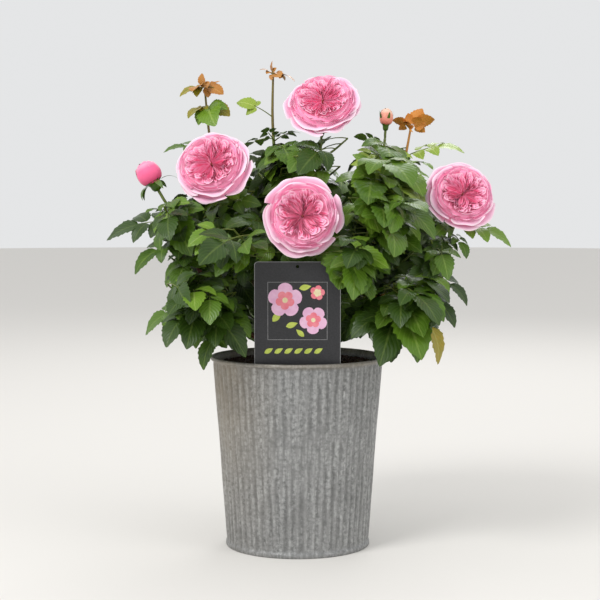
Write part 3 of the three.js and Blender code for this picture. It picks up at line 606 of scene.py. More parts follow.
# Label: a dark card on a pointed stake, with a plain ruled frame and simple sprigs in low relief
label = {"width": 104.0, "thickness": 0.9, "top": 362.5, "foot": 236.0, "corner": 4.0, "y": -88.0, "stakeWidth": 16.0,
         "stakeFoot": 150.0, "stakePoint": 14.0, "hole": (0.0, 356.5, 2.0), "ink": 0.12, "edge": 0.7,
         "rule": (36, 268, 338), "ruleInside": 0.985,
         "blossoms": [  # outer and inner ink, x, z, radius, turn
             ("lilacInk", "coralInk", -15, 316, 21, 0.3), ("lilacInk", "coralInk", 19, 292, 17, 0.9),
             ("coralInk", "creamInk", 24, 325, 9, 0.1)],
         "sprigs": [(-30, 290, 17, 0.9), (-14, 284, 15, 0.3), (2, 330, 15, 0.2), (8, 272, 13, 2.4)],
         "rowFrom": -40, "rowStep": 12, "rowLeaf": (252, 12, 0.5)}


def cardOutline(inset=0.0):
    half, top, corner = label["width"] / 2 - inset, label["top"] - inset, label["corner"]
    outline = [(-half, label["foot"] + inset), (half, label["foot"] + inset)]
    for sign, start in ((1, 0), (-1, 90)):
        for angle in np.radians(np.linspace(start, start + 90, 6)):
            outline.append((sign * (half - corner) + corner * math.cos(angle), top - corner + corner * math.sin(angle)))
    return outline


def plateMesh(name, outlines, front, back, holes=()):
    # flat shapes in X and Z, filled and given a thickness towards the back
    work = bmesh.new()
    for outline in list(outlines) + list(holes):
        corners = [work.verts.new((x * mm, front * mm, z * mm)) for x, z in outline]
        for i, corner in enumerate(corners):
            work.edges.new((corner, corners[(i + 1) % len(corners)]))
    bmesh.ops.triangle_fill(work, use_beauty=True, use_dissolve=True, edges=work.edges[:])
    bmesh.ops.recalc_face_normals(work, faces=work.faces)
    faces = work.faces[:]
    sides = bmesh.ops.extrude_face_region(work, geom=faces)
    moved = [item for item in sides["geom"] if isinstance(item, bmesh.types.BMVert)]
    bmesh.ops.translate(work, verts=moved, vec=(0, (back - front) * mm, 0))
    bmesh.ops.recalc_face_normals(work, faces=work.faces)
    mesh = bpy.data.meshes.new(name)
    work.to_mesh(mesh)
    work.free()
    return mesh


def ring(x, z, radius, sides=20):
    return [(x + radius * math.cos(a), z + radius * math.sin(a)) for a in np.arange(sides) * 2 * math.pi / sides]


def blossomOutline(x, z, radius, turn, petals=5):
    outline = []
    for k in range(petals * 8):
        angle = turn + k * 2 * math.pi / (petals * 8)
        swell = 0.72 + 0.28 * abs(math.cos(petals * (angle - turn) / 2)) ** 0.6
        outline.append((x + radius * swell * math.cos(angle), z + radius * swell * math.sin(angle)))
    return outline


def sprigLeaf(x, z, length, turn):
    outline = []
    for side in (1, -1):
        for t in np.linspace(0, 1, 7)[:-1]:
            share = t if side > 0 else 1 - t
            across = side * 0.24 * length * math.sin(math.pi * share ** 0.8)
            outline.append((x + length * share * math.cos(turn) - across * math.sin(turn),
                            z + length * share * math.sin(turn) + across * math.cos(turn)))
    return outline


def makeLabel():
    front, back = label["y"] - label["thickness"] / 2, label["y"] + label["thickness"] / 2
    hole = ring(*label["hole"])
    half = label["stakeWidth"] / 2
    stake = [(-half, label["foot"] + 8), (-half, label["stakeFoot"] + label["stakePoint"]), (0, label["stakeFoot"]),
             (half, label["stakeFoot"] + label["stakePoint"]), (half, label["foot"] + 8)]
    def place(name, finish, outlines, near, far, holes=(), replaced=()):
        finishPiece(name, plateMesh(name, outlines, near, far, holes), replaced, finish)

    place("labelCard", "charcoalCard", [cardOutline()], front, back, [hole], ["plant_label"])
    place("labelStake", "charcoalCard", [stake[::-1]], front + 0.2, back - 0.05)
    ink = front - label["ink"]
    place("labelEdge", "cardEdge", [cardOutline()], ink, front, [cardOutline(label["edge"])])
    half, low, high = label["rule"]
    rule = [(-half, low), (half, low), (half, high), (-half, high)]
    middle, share = (low + high) / 2, label["ruleInside"]
    inner = [(x * share, middle + (z - middle) * share) for x, z in rule]
    place("labelRule", "cardEdge", [rule], ink, front, [inner])
    for i, (outer, inside, x, z, radius, turn) in enumerate(label["blossoms"]):
        place(f"labelBlossom{i}", outer, [blossomOutline(x, z, radius, turn)], ink - 0.06, front)
        place(f"labelBlossomMiddle{i}", inside, [blossomOutline(x, z, radius * 0.55, turn + 0.6)], ink - 0.12,
              ink - 0.06)
        place(f"labelBlossomEye{i}", "creamInk", [ring(x, z, radius * 0.16, 12)], ink - 0.18, ink - 0.12)
    sprigs = label["sprigs"] + [(label["rowFrom"] + label["rowStep"] * k, *label["rowLeaf"]) for k in range(6)]
    for i, sprig in enumerate(sprigs):
        place(f"labelLeaf{i}", "limeInk", [sprigLeaf(*sprig)], ink, front)
    print("label")


makeLabel()


# The plant: the same growth rule as the solids
lowRing = {"reach": 8, "height": 9, "pitch": 24}
highRing = {"reach": 6, "height": 14, "pitch": 66}
sizes = {"caneRadii": (4.2, 3.1), "caneSteps": 5, "limbRadii": (2.8, 1.7), "limbSteps": 4, "twigPitch": 0.5,
         "twigLift": 0.16, "stalkSteps": 3, "clearGap": 0.3}
leafRule = {"length": 128.0, "terminalAt": 0.5, "share": 0.4, "width": 0.7, "thickness": 1.3, "widestAt": 0.42,
            "droop": 0.16, "pairs": [(0.2, 0.82, 1.2), (0.39, 0.96, 0.98)]}
space = {"margin": 2.2, "limbClear": 5.5, "leafGap": 9.0, "across": 51.0, "deep": 36.0, "ahead": 44.0,
         "labelSide": 56.0, "labelDepth": 7.0, "labelTop": 372.0, "bareCorner": (34.0, 318.0), "potInside": 99.0,
         "potOutside": 114.0, "lip": 246.0, "soil": 238.0, "lowest": 208.0, "turns": 14,
         "sizes": (1, 0.85, 0.7, 0.58)}
reach = np.array([  # height, furthest left, right, front and back
    (225, -130, 130, -130, 130), (262, -165, 160, -160, 175), (310, -162, 180, -175, 200),
    (350, -160, 196, -180, 210), (392, -178, 205, -175, 212), (430, -168, 186, -150, 205),
    (470, -136, 162, -110, 190), (500, -90, 140, -70, 150), (514, -60, 90, -40, 100)], dtype=float)


def limb(bend, top, leaves, twigs, marked=(), tips=(), start=None, share=1.0, until=0.97):
    return {"bend": np.array(bend, float), "top": np.array(top, float), "leaves": leaves, "twigs": twigs,
            "marked": marked, "tips": tips, "start": start, "share": share, "until": until}


masses = [
    {"name": "left", "ring": lowRing, "fork": (-84, -26, 283), "seed": 11, "limbs": [
        limb((-134, -47, 368), (-160, -31, 428), 9, 1, [
            (0.84, (-237, -30, 388), 0.2), (0.68, (-201, -58, 350), 0.22), (0.56, (-143, -108, 330), 0.2),
            (0.92, (-184, -66, 422), 0.2), (0.04, (-119, -54, 230), 0.2)]),
        limb((-108, -58, 300), (-130, -74, 306), 5, 0, [
            (0.97, (-188, -62, 274), 0.3), (0.8, (-156, -128, 266), 0.26), (0.5, (-124, -84, 258), 0.2)],
            start=0.12)]},
    {"name": "upper_left", "ring": highRing, "fork": (-48, -6, 322), "seed": 23, "limbs": [
        limb((-88, -6, 372), (-98, -16, 436), 9, 2),
        limb((-110, 46, 440), (-117.5, 22, 580), 9, 2, [(0.7, (-169, 14, 497), 0.16)], [
            (0.9, (-138, 5, 540), 0.2), (0.9, (-85, 10, 542), 0.2), (0.9, (-104, -20, 531), 0.24),
            (0.99, (-149, 15, 567), 0.16), (0.99, (-93, 9, 568), 0.24), (0.97, (-98, 32, 586), 0.2),
            (0.97, (-121, 20, 594), 0.02), (0.99, (-132, -4, 574), 0.2)], start=0.2, share=0.8, until=0.62)]},
    {"name": "centre", "ring": highRing, "fork": (-4, 14, 338), "seed": 41, "limbs": [
        limb((27, -5, 423), (30, 12, 516), 12, 2, until=0.9),
        limb((-39, 43, 458), (-31, 38, 600), 12, 2, [
            (0.78, (-78, 48, 561), 0.16), (0.66, (-44, 4, 524), 0.16), (0.66, (3, 12, 520), 0.2)], [
            (0.98, (-48, 36, 601), 0.1), (0.98, (-3, 30, 587), 0.22), (0.97, (-33, 38, 611), 0.02),
            (0.98, (-22, 18, 590), 0.2)], start=0.15, until=0.66)]},
    {"name": "front", "ring": lowRing, "fork": (2, -50, 300), "seed": 67, "limbs": [
        limb((2, -62, 345), (5, -70, 396), 6, 0),
        limb((-30, -74, 350), (-64, -78, 388), 9, 1, start=0.2),
        limb((40, -74, 340), (66, -74, 378), 8, 1, [(0.97, (92, -130, 358), 0.2)], [(0.97, (50, -128, 336), 0.3)],
             start=0.26)]},
    {"name": "upper_right", "ring": highRing, "fork": (46, 14, 326), "seed": 83, "limbs": [
        limb((105.7, 30, 405), (110.6, 30, 512), 10, 1, [(0.95, (72, 42, 516), 0.14)], until=0.9),
        limb((134, 40.5, 446), (145, 50, 528), 6, 1, [
            (0.76, (210, 20, 499), 0.2), (0.66, (147, -14, 474), 0.2), (0.7, (170, 6, 475), 0.2)], [
            (0.98, (122, 50, 539), 0.24), (0.98, (174, 50, 540), 0.3), (0.97, (160, 62, 551), 0.16),
            (0.96, (140, 34, 536), 0.2)], start=0.35, until=0.8),
        limb((84, -44, 372), (100, -52, 446), 9, 1, [(0.94, (70, -98, 422), 0.2)], start=0.12, share=1.35)]},
    {"name": "right", "ring": lowRing, "fork": (90, -20, 284), "seed": 97, "limbs": [
        limb((172.5, -35, 334), (197, -14, 408), 9, 1, [
            (0.97, (267, -20, 381), 0.2), (0.9, (209, -44, 366), 0.3), (0.76, (166, -74, 348), 0.3),
            (0.55, (211, -44, 309), 0.2), (0.4, (195, -56, 283), 0.2)]),
        limb((122, -56, 302), (148, -64, 308), 5, 0, [
            (0.9, (160, -128, 290), 0.2), (0.97, (178, -58, 236), 0.3), (0.6, (146, -104, 246), 0.24),
            (0.1, (116, -68, 240), 0.3)], start=0.14)]},
    {"name": "back_left", "ring": lowRing, "fork": (-66, 62, 286), "seed": 127, "limbs": [
        limb((-112, 90, 330), (-116, 96, 436), 8, 2),
        limb((-48, 116, 350), (-36, 112, 462), 8, 1, start=0.16)]},
    {"name": "back_right", "ring": lowRing, "fork": (74, 62, 286), "seed": 149, "limbs": [
        limb((132, 90, 330), (138, 96, 438), 8, 2),
        limb((60, 116, 350), (52, 112, 462), 8, 1, start=0.16)]},
]

flowers = [
    {"name": "bloom_left", "mass": "upper_left", "centre": (-104.6, -45, 478), "faces": (-0.22, -0.86, 0.46),
     "turn": 0.3, "scale": 1.0, "seed": 3},
    {"name": "bloom_top", "mass": "centre", "centre": (31.7, 0, 556), "faces": (-0.08, -0.78, 0.62), "turn": 0.8,
     "scale": 1.0, "seed": 7},
    {"name": "bloom_centre", "mass": "front", "centre": (6, -97, 417), "faces": (0, -0.98, 0.18), "turn": 0.1,
     "scale": 1.0, "seed": 19},
    {"name": "bloom_right", "mass": "right", "centre": (201.8, -38, 442), "faces": (0.18, -0.9, 0.4), "turn": 0.6,
     "scale": 0.92, "seed": 31},
    {"name": "bud_left", "mass": "left", "centre": (-182, -30, 465), "radius": 16, "length": 42, "scale": 1.0},
    {"name": "bud_right", "mass": "upper_right", "centre": (112, 29, 537), "radius": 9, "length": 30, "scale": 1.0},
]


def carryOn(line, following):
    along = unit(line[-1] - line[-2])
    return np.vstack([line[-1] + along * sizes["clearGap"], line[-1] + along * 3, following[1:]])


def layOutLines():
    for mass in masses:
        fork = np.array(mass["fork"], float)
        heading = math.atan2(fork[1], fork[0])
        ringAt, pitch = mass["ring"], math.radians(mass["ring"]["pitch"])
        start = np.array([math.cos(heading) * ringAt["reach"], math.sin(heading) * ringAt["reach"],
                          soil["top"] + ringAt["height"]])
        way = np.array([math.cos(heading) * math.cos(pitch), math.sin(heading) * math.cos(pitch), math.sin(pitch)])
        bend = start + way * 0.5 * np.linalg.norm(start - fork)
        mass["cane"] = curvePoints(start, bend, fork, sizes["caneSteps"])
        for branch in mass["limbs"]:
            foot = fork if branch["start"] is None else pointOn(mass["limbs"][0]["line"], branch["start"])
            branch["line"] = curvePoints(foot, branch["bend"], branch["top"], sizes["limbSteps"])
    for flower in flowers:
        first = next(mass for mass in masses if mass["name"] == flower["mass"])["limbs"][0]
        centre = flower["centre"] = np.array(flower["centre"], float)
        isBloom = "faces" in flower
        axis = flower["axis"] = unit(np.array(flower["faces"], float) if isBloom else centre - first["top"])
        back = 34 * flower["scale"] if isBloom else flower["length"] * 0.46
        hip = flower["hip"] = centre - axis * back
        bend = hip - axis * 0.45 * np.linalg.norm(first["top"] - hip)
        flower["stalk"] = carryOn(first["line"], curvePoints(first["top"], bend, hip, sizes["stalkSteps"]))


layOutLines()


# Distances to many lines at once; every line belongs to one mass
class Lines:
    def __init__(self, owned):
        self.feet = np.vstack([line[:-1] for owner, line, share in owned])
        self.ways = np.vstack([np.diff(line, axis=0) for owner, line, share in owned])
        self.shares = np.concatenate([np.full(len(line) - 1, share) for owner, line, share in owned])
        owners = np.concatenate([np.full(len(line) - 1, owner) for owner, line, share in owned])
        self.starts = np.flatnonzero(np.r_[True, np.diff(owners) != 0])
        self.squares = (self.ways ** 2).sum(1)

    def distances(self, points):
        apart = points[:, None] - self.feet
        share = np.clip((apart * self.ways).sum(2) / self.squares, 0, 1)
        away = apart - share[..., None] * self.ways
        return np.minimum.reduceat(np.sqrt((away ** 2).sum(2)) / self.shares, self.starts, axis=1)


limbLines = Lines([(i, branch["line"], branch["share"]) for i, mass in enumerate(masses)
                   for branch in mass["limbs"]])
caneLines = Lines([(i, mass["cane"], 1.0) for i, mass in enumerate(masses)])
stalkLines = Lines([(i, flower["stalk"], 1.0) for i, flower in enumerate(flowers)])


def areInReach(points):
    made = (points[:, 2] >= reach[0, 0]) & (points[:, 2] < reach[-1, 0])
    left, right, front, back = [np.interp(points[:, 2], reach[:, 0], reach[:, k]) for k in (1, 2, 3, 4)]
    return made & (points[:, 0] > left) & (points[:, 0] < right) & (points[:, 1] > front) & (points[:, 1] < back)


def areFree(points, owner, onStalk):
    near = limbLines.distances(points)
    own = near[:, owner].copy()
    near[:, owner] = np.inf
    free = (near >= own[:, None] + space["margin"]).all(1)
    cane = caneLines.distances(points)
    if onStalk:
        cane[:, owner] = np.inf
    free &= (cane >= space["limbClear"] + sizes["caneRadii"][0]).all(1)
    if not free.any():
        return free
    x, y, z = points.T
    radius = np.hypot(x, y)
    free &= (z >= space["lowest"]) & ~((radius < space["potInside"]) & (z < space["soil"]))
    free &= ~((radius >= space["potInside"]) & (radius < space["potOutside"]) & (z < space["lip"]))
    behind = y > label["y"] + space["labelDepth"]
    beside = (abs(x) > space["labelSide"]) | (z > space["labelTop"])
    corner = (y < label["y"] - space["labelDepth"]) & (x > space["bareCorner"][0]) & (z > space["bareCorner"][1])
    free &= behind | beside | corner
    for flower in flowers:
        offset = points - flower["centre"]
        deep = offset @ flower["axis"]
        across = np.sqrt(np.maximum(0, (offset ** 2).sum(1) - deep * deep))
        isBloom = "faces" in flower
        wide = space["across"] * flower["scale"] if isBloom else flower["radius"] + space["limbClear"]
        thick = space["deep"] * flower["scale"] if isBloom else flower["length"] * 0.5 + space["limbClear"]
        ahead = space["ahead"] * flower["scale"] if isBloom else flower["radius"]
        free &= (deep / thick) ** 2 + (across / wide) ** 2 >= 1
        free &= ~((offset[:, 1] < 0) & (np.hypot(offset[:, 0], offset[:, 2]) < ahead))
    if not onStalk:
        free &= (stalkLines.distances(points) >= space["limbClear"]).all(1)
    return free


def planLeaf(root, tip, arch, roll, pairs):
    length = np.linalg.norm(tip - root)
    curve = (root, (root + tip) / 2 + np.array([0, 0, arch * length]), tip)
    lean = np.array([0, 0, 0.8]) + 0.5 * unit(np.array([tip[0], tip[1], 0]))
    lean[1] += -0.45 if tip[1] < 40 else 0.45

    def frameAt(at):
        along = curveTangent(curve, at)
        side = turnAbout(unit(np.cross(along, lean)), along, roll)
        return curvePoint(curve, at), along, side, np.cross(side, along)
    leaflets = []
    for at, size, turn in pairs:
        centre, along, side, face = frameAt(at)
        for hand in (1, -1):
            way = along * math.cos(turn) + side * hand * math.sin(turn)
            across = along * math.sin(turn) - side * hand * math.cos(turn)
            leaflets.append((centre, way, across, face, length * leafRule["share"] * size, leafRule["droop"]))
    centre, along, side, face = frameAt(leafRule["terminalAt"])
    reachOut = np.linalg.norm(tip - centre)
    leaflets.append((centre, (tip - centre) / reachOut, side, face, reachOut, 0.0))
    return {"curve": curve, "leaflets": leaflets, "length": length, "tip": tip, "root": root}


def samplesOf(plan):
    made = []
    for root, way, across, face, length, droop in plan["leaflets"]:
        middle = root + way * length * leafRule["widestAt"]
        edge = across * length * leafRule["width"] / 2
        lift = face * leafRule["thickness"] / 2
        tip = root + way * length - face * droop * length
        outline = [middle + edge - lift, tip, middle - edge - lift, root]
        ridge = middle + lift
        halfway = [(outline[i] + outline[(i + 1) % 4]) / 2 for i in range(4)]
        made += outline + halfway + [(ridge + root) / 2, (ridge + tip) / 2, ridge]
    return np.array(made)


def leafIsFree(plan, owner, taken, marked, gap):
    early = np.array([plan["tip"], curvePoint(plan["curve"], 0.75)])
    if not areFree(early, owner, False)[0] or not (marked or areInReach(early)[0]):
        return None
    points = samplesOf(plan)
    if not marked and not areInReach(points).all():
        return None
    if not marked and len(taken):
        if (((points[:, None] - taken) ** 2).sum(2) < gap * gap).any():
            return None
    if not areFree(points, owner, False).all():
        return None
    if not areFree(curvePoint(plan["curve"], 0.3)[None], owner, True).all():
        return None
    return points


class Growth:
    def __init__(self, owner):
        self.owner, self.taken, self.leaves, self.twigs = owner, np.empty((0, 3)), [], []

    def keep(self, plan, points, kind):
        plan["kind"], plan["mass"] = kind, masses[self.owner]["name"]
        self.taken = np.vstack([self.taken, points])
        self.leaves.append(plan)

    def tryLeaf(self, root, heading, pitch, size, droop, roll, kind="grown", shares=space["sizes"],
                gap=space["leafGap"]):
        for share in shares:
            for turn in range(space["turns"]):
                swing = math.ceil(turn / 2) * (1 if turn % 2 else -1) * (2 * math.pi / space["turns"])
                length = leafRule["length"] * size * share
                tip = root + np.array([math.cos(heading + swing) * math.cos(pitch),
                                       math.sin(heading + swing) * math.cos(pitch),
                                       math.sin(pitch) - droop]) * length
                plan = planLeaf(root, tip, droop * 0.4, roll, leafRule["pairs"][1 if share < 0.8 else 0:])
                points = leafIsFree(plan, self.owner, self.taken, False, gap)
                if points is not None:
                    self.keep(plan, points, kind)
                    return

    def growTwig(self, root, length, first):
        # the first of fourteen headings whose twig is free
        for turn in range(space["turns"]):
            heading = first + turn * (2 * math.pi / space["turns"])
            out = np.array([math.cos(heading), math.sin(heading), 0])
            rise = np.array([0, 0, 1.0])
            twig = np.array([root + out * length * math.cos(sizes["twigPitch"]) * t
                             + rise * length * (math.sin(sizes["twigPitch"]) * t + sizes["twigLift"] * t * t)
                             for t in (0, 0.5, 1)])
            if areFree(twig[1:], self.owner, True).all() and areInReach(twig[1:]).all():
                self.twigs.append(twig)
                return twig, heading
        return None, 0


def growMass(owner):
    mass = masses[owner]
    random = seeded(mass["seed"])
    growth = Growth(owner)
    for branch in mass["limbs"]:
        for kind, rows, pairs in (("marked", branch["marked"], leafRule["pairs"]), ("tip", branch["tips"], [])):
            for at, tip, arch in rows:
                plan = planLeaf(pointOn(branch["line"], at), np.array(tip, float), arch, 0, pairs)
                points = leafIsFree(plan, owner, growth.taken, True, 0)
                if points is not None:
                    growth.keep(plan, points, kind)
    for branch in mass["limbs"]:
        first = random() * 2 * math.pi
        last = branch["until"]
        for k in range(branch["twigs"]):
            root = pointOn(branch["line"], 0.1 + (last - 0.2) * (k + random()) / branch["twigs"])
            twig, heading = growth.growTwig(root, 44 + 30 * random(), first + 1.9 + k * goldenAngle)
            if twig is None:
                continue
            for share in (0.5, 0.8, 0.97):
                swing = (share - 0.8) * 4 * (-1 if random() < 0.5 else 1)
                growth.tryLeaf(pointOn(twig, share), heading + swing, 0.35 * random(), 0.85 + 0.24 * random(),
                               0.4 + 0.4 * random(), (random() - 0.5) * 0.8)
        for i in range(branch["leaves"]):
            at = 0.06 + (last - 0.06) * (i + 0.6 * random()) / branch["leaves"]
            growth.tryLeaf(pointOn(branch["line"], at), first + i * goldenAngle, 0.4 * random(),
                           0.85 + 0.28 * random(), 0.4 + 0.4 * random(), (random() - 0.5) * 0.8)
    return growth


finer = {"twigsPerLimb": 8, "leavesPerTwig": 4, "leavesPerLimb": 24, "sizes": (0.72, 0.58, 0.44), "gap": 2.6,
         "twigLength": (26.0, 34.0), "further": 0.1, "leavesPerStalk": 8}


def growFiner(growth):
    # finer twigs and smaller leaves between the first ones, in the same space and reach
    mass = masses[growth.owner]
    random = seeded(mass["seed"] + 1000)
    for flower in flowers:
        if flower["mass"] == mass["name"]:
            for i in range(finer["leavesPerStalk"]):
                at = 0.7 * (i + random()) / finer["leavesPerStalk"]
                growth.tryLeaf(pointOn(flower["stalk"], at), i * goldenAngle, 0.4 * random(), 0.85 + 0.3 * random(),
                               0.3 + 0.5 * random(), (random() - 0.5) * 0.9, "fine", finer["sizes"], finer["gap"])
    for branch in mass["limbs"]:
        first = random() * 2 * math.pi
        last = min(1, branch["until"] + finer["further"])
        for k in range(finer["twigsPerLimb"]):
            root = pointOn(branch["line"], 0.06 + (last - 0.1) * (k + random()) / finer["twigsPerLimb"])
            length = finer["twigLength"][0] + finer["twigLength"][1] * random()
            twig, heading = growth.growTwig(root, length, first + k * goldenAngle)
            if twig is None:
                continue
            for i in range(finer["leavesPerTwig"]):
                share = 0.35 + 0.62 * i / (finer["leavesPerTwig"] - 1)
                growth.tryLeaf(pointOn(twig, share), heading + 1.3 * (-1) ** i * random(), 0.4 * random(),
                               0.85 + 0.3 * random(), 0.3 + 0.5 * random(), (random() - 0.5) * 0.9, "fine",
                               finer["sizes"], finer["gap"])
        for i in range(finer["leavesPerLimb"]):
            at = 0.04 + (last - 0.04) * (i + random()) / finer["leavesPerLimb"]
            growth.tryLeaf(pointOn(branch["line"], at), first + 1 + i * goldenAngle, 0.4 * random(),
                           0.85 + 0.3 * random(), 0.3 + 0.5 * random(), (random() - 0.5) * 0.9, "fine",
                           finer["sizes"], finer["gap"])


def trimTwigs(growth):
    # a twig ends at its last leaf, and a bare one is dropped
    kept, shares = [], np.linspace(0, 1, 51)
    for twig in growth.twigs:
        spots = np.array([pointOn(twig, share) for share in shares])
        apart = [np.linalg.norm(spots - plan["root"], axis=1) for plan in growth.leaves]
        furthest = max(shares[away.argmin()] if away.min() < 1 else 0 for away in apart)
        if furthest > 0.1:
            kept.append(np.array([pointOn(twig, furthest * t) for t in (0, 0.5, 1)]))
    growth.twigs = kept


growths = []
for owner in range(len(masses)):
    made = growMass(owner)
    counted = len(made.leaves), len(made.twigs)
    growFiner(made)
    trimTwigs(made)
    growths.append(made)
    print("mass", masses[owner]["name"], "leaves and twigs", counted, "with finer", len(made.leaves), len(made.twigs))


# Leaves: serrated leaflets folded along the midrib, dealt out to the colours by spray
leaflet = {"rows": (0, 0.1, 0.22, 0.35, 0.49, 0.63, 0.77, 0.9, 1), "halfWidth": 0.32, "inside": 0.55, "notch": 0.93,
           "tooth": 1.07, "fold": (0.16, 0.34), "curl": 0.5, "stalk": 2.6}


def leafletTemplate():
    # along, across as a share of the half width, and how far out the point is at that row
    rows = leaflet["rows"]
    points, faces = [], []
    swell = [t ** 0.55 * (1 - t) ** 0.8 / 0.4016 for t in rows]
    points += [(t, 0, 0) for t in rows]
    last = len(rows) - 1
    for side in (1, -1):
        inner, notch = {}, {}
        for i in range(1, last):
            inner[i] = len(points)
            points.append((rows[i], side * leaflet["inside"], swell[i]))
            notch[i] = len(points)
            points.append((rows[i], side * leaflet["notch"], swell[i]))
        for i in range(last):
            tooth = len(points)
            at = rows[i] + 0.72 * (rows[i + 1] - rows[i])
            points.append((at, side * leaflet["tooth"], at ** 0.55 * (1 - at) ** 0.8 / 0.4016))
            if i == 0:
                made = [(0, 1, inner[1]), (0, inner[1], notch[1]), (0, notch[1], tooth)]
            elif i == last - 1:
                made = [(i, last, inner[i]), (inner[i], last, notch[i]), (notch[i], last, tooth)]
            else:
                made = [(i, i + 1, inner[i + 1], inner[i]), (inner[i], inner[i + 1], notch[i + 1], notch[i]),
                        (notch[i], notch[i + 1], tooth)]
            faces += [face[::-1] if side > 0 else face for face in made]
    return np.array(points), faces


template, templateFaces = leafletTemplate()


def leafletPoints(plan, number, draw):
    root, way, across, face, length, droop = plan["leaflets"][number]
    if np.cross(across, way) @ face < 0:  # the upper side faces up on both hands of the leaf
        across = -across
    t, out, swell = template.T
    fold =leaflet["fold"][0] + (leaflet["fold"][1] - leaflet["fold"][0]) * draw.random()
    curl = draw.uniform(0.05, 0.16)
    twist = draw.uniform(-0.12, 0.12)
    width = leaflet["halfWidth"] * draw.uniform(0.9, 1.06) * plan.get("broad", 1)
    offset = leaflet["stalk"] / length
    along = (offset + (1 - offset) * t) * length
    sideways = out * swell * width * length
    lift = abs(sideways) * fold * (1 - leaflet["curl"] * abs(out)) + twist * sideways * t
    lift += length * (0.05 * np.sin(math.pi * t) - curl * t ** 3 - droop * t ** 1.5 * 0.8)
    lift += length * 0.012 * np.sin(t * 19 + draw.uniform(0, 6)) * abs(out)
    points = root + np.outer(along, way) + np.outer(sideways, across) + np.outer(lift, face)
    return points, np.column_stack([0.5 + 0.5 * np.clip(out, -1, 1), t])


def colourOf(plan, draw):
    x, y, z = plan["tip"]
    kind, mass = plan["kind"], plan["mass"]
    if kind == "tip":
        if mass == "upper_right":
            return "leafGold"
        if mass == "front":
            return "leafMid"
        if mass == "upper_left" and z < 550:
            return "leafBright" if y < -10 else "leafOlive"
        return "leafOlive" if x < -140 else "leafBronze"
    if kind == "marked" and z > 550:
        return "leafYoung"
    if mass == "right" and kind == "marked" and z > 370:
        return "leafBright"
    # the lower a leaf, the likelier its dark green and the higher, the likelier its bright green: painted shade and
    # light across the bush, laid over a real random mix of greens
    chance = draw.random()
    if mass in ("centre", "upper_left") and z > 480:
        return "leafBright" if chance < 0.35 else "leafMid"
    if mass == "upper_right" and z > 430:
        return "leafYoung" if chance < 0.3 else "leafBright" if chance < 0.6 else "leafMid"
    if mass == "upper_right" and z > 390:
        return "leafYoung" if chance < 0.08 else "leafBright" if chance < 0.4 else "leafMid"
    height = (z - 260) / 240
    if chance < 0.03 + 0.28 * height:
        return "leafBright"
    if chance < 0.46 + 0.28 * height:
        return "leafMid"
    return "leafDark"


foliageNodes = ["foliage_" + mass["name"] for mass in masses]
ageing = {"turnedNear": np.array([90.0, -80.0, 284.0]), "turningTip": np.array([178.0, -58.0, 236.0])}


def openTip(plan, start, face, broad):
    # a young leaf at the end of a shoot opens close to it: one long leaflet and a small pair
    root, tip = curvePoint(plan["curve"], start), plan["tip"]
    way, length = unit(tip - root), np.linalg.norm(tip - root)
    face = unit(face - way * (face @ way))
    plan["broad"] = broad
    side = np.cross(way, face)
    plan["leaflets"] = [(root, way, side, face, length, 0.0)]
    for hand in (1, -1):
        turned = way * math.cos(0.9) + side * hand * math.sin(0.9)
        across = way * math.sin(0.9) - side * hand * math.cos(0.9)
        plan["leaflets"].append((root, turned, across, face, length * 0.6, 0.3))


def makeLeaves():
    draw = np.random.default_rng(77)
    patches = {name: Patches() for name in leafColours}
    everyLeaf = [plan for growth in growths for plan in growth.leaves]
    old = min((plan for plan in everyLeaf if plan["kind"] == "fine"),
              key=lambda plan: np.linalg.norm(plan["tip"] - ageing["turnedNear"]))
    for plan in everyLeaf:
        plan["colour"] = "leafGold" if plan is old else colourOf(plan, draw)
        if plan["kind"] == "tip":
            openTip(plan, 0.16, plan["leaflets"][-1][3], 1.3)
        elif plan["tip"][2] > 550:
            openTip(plan, 0.4, np.array([0.0, -0.7, 0.7]), 1.1)
        tone = draw.random()
        for number in range(len(plan["leaflets"])):
            points, uvs = leafletPoints(plan, number, draw)
            isLast = number == len(plan["leaflets"]) - 1
            isTurning = isLast and np.allclose(plan["tip"], ageing["turningTip"])
            patches["leafOlive" if isTurning else plan["colour"]].add(points, templateFaces, uvs, tone)
    for name, patch in patches.items():
        finishPiece("leaves" + name[4:], patch.mesh(name), foliageNodes if name == "leafDark" else (), name)
        print(name, patch.count // len(template), "leaflets,", len(patch.faces), "faces")


makeLeaves()


# Stems: tubes along lines, made by one tree that also raises the bark
def stemTree():
    tree, given = newTree("stemTubes", [("Sides", "Int"), ("Relief", "Float"), ("Relief Scale", "Float"),
                                        ("Material", "Material")])
    curve = addNode(tree, "GeometryNodeMeshToCurve", {"Mesh": given["Geometry"]})
    circle = addNode(tree, "GeometryNodeCurvePrimitiveCircle", {"Resolution": given["Sides"], "Radius": 1.0})
    thick = addNode(tree, "GeometryNodeInputNamedAttribute", {"Name": "thick"}).outputs["Attribute"]
    tube = addNode(tree, "GeometryNodeCurveToMesh", {"Curve": curve.outputs[0], "Profile Curve": circle.outputs[0],
                                                     "Scale": thick, "Fill Caps": True})
    place = tree.nodes.new("GeometryNodeInputPosition").outputs[0]
    noise = addNode(tree, "ShaderNodeTexNoise", {"Vector": place, "Scale": given["Relief Scale"], "Detail": 3.0})
    lift = calc(tree, "MULTIPLY", calc(tree, "SUBTRACT", noise.outputs["Fac"], 0.5), given["Relief"])
    normal = tree.nodes.new("GeometryNodeInputNormal").outputs[0]
    push = addNode(tree, "ShaderNodeVectorMath", {0: normal, 3: lift}, operation="SCALE").outputs[0]
    shaped = addNode(tree, "GeometryNodeSetPosition", {"Geometry": tube.outputs[0], "Offset": push})
    smooth = addNode(tree, "GeometryNodeSetShadeSmooth", {"Geometry": shaped.outputs[0]})
    endTree(tree, smooth.outputs[0], given["Material"])
    return tree


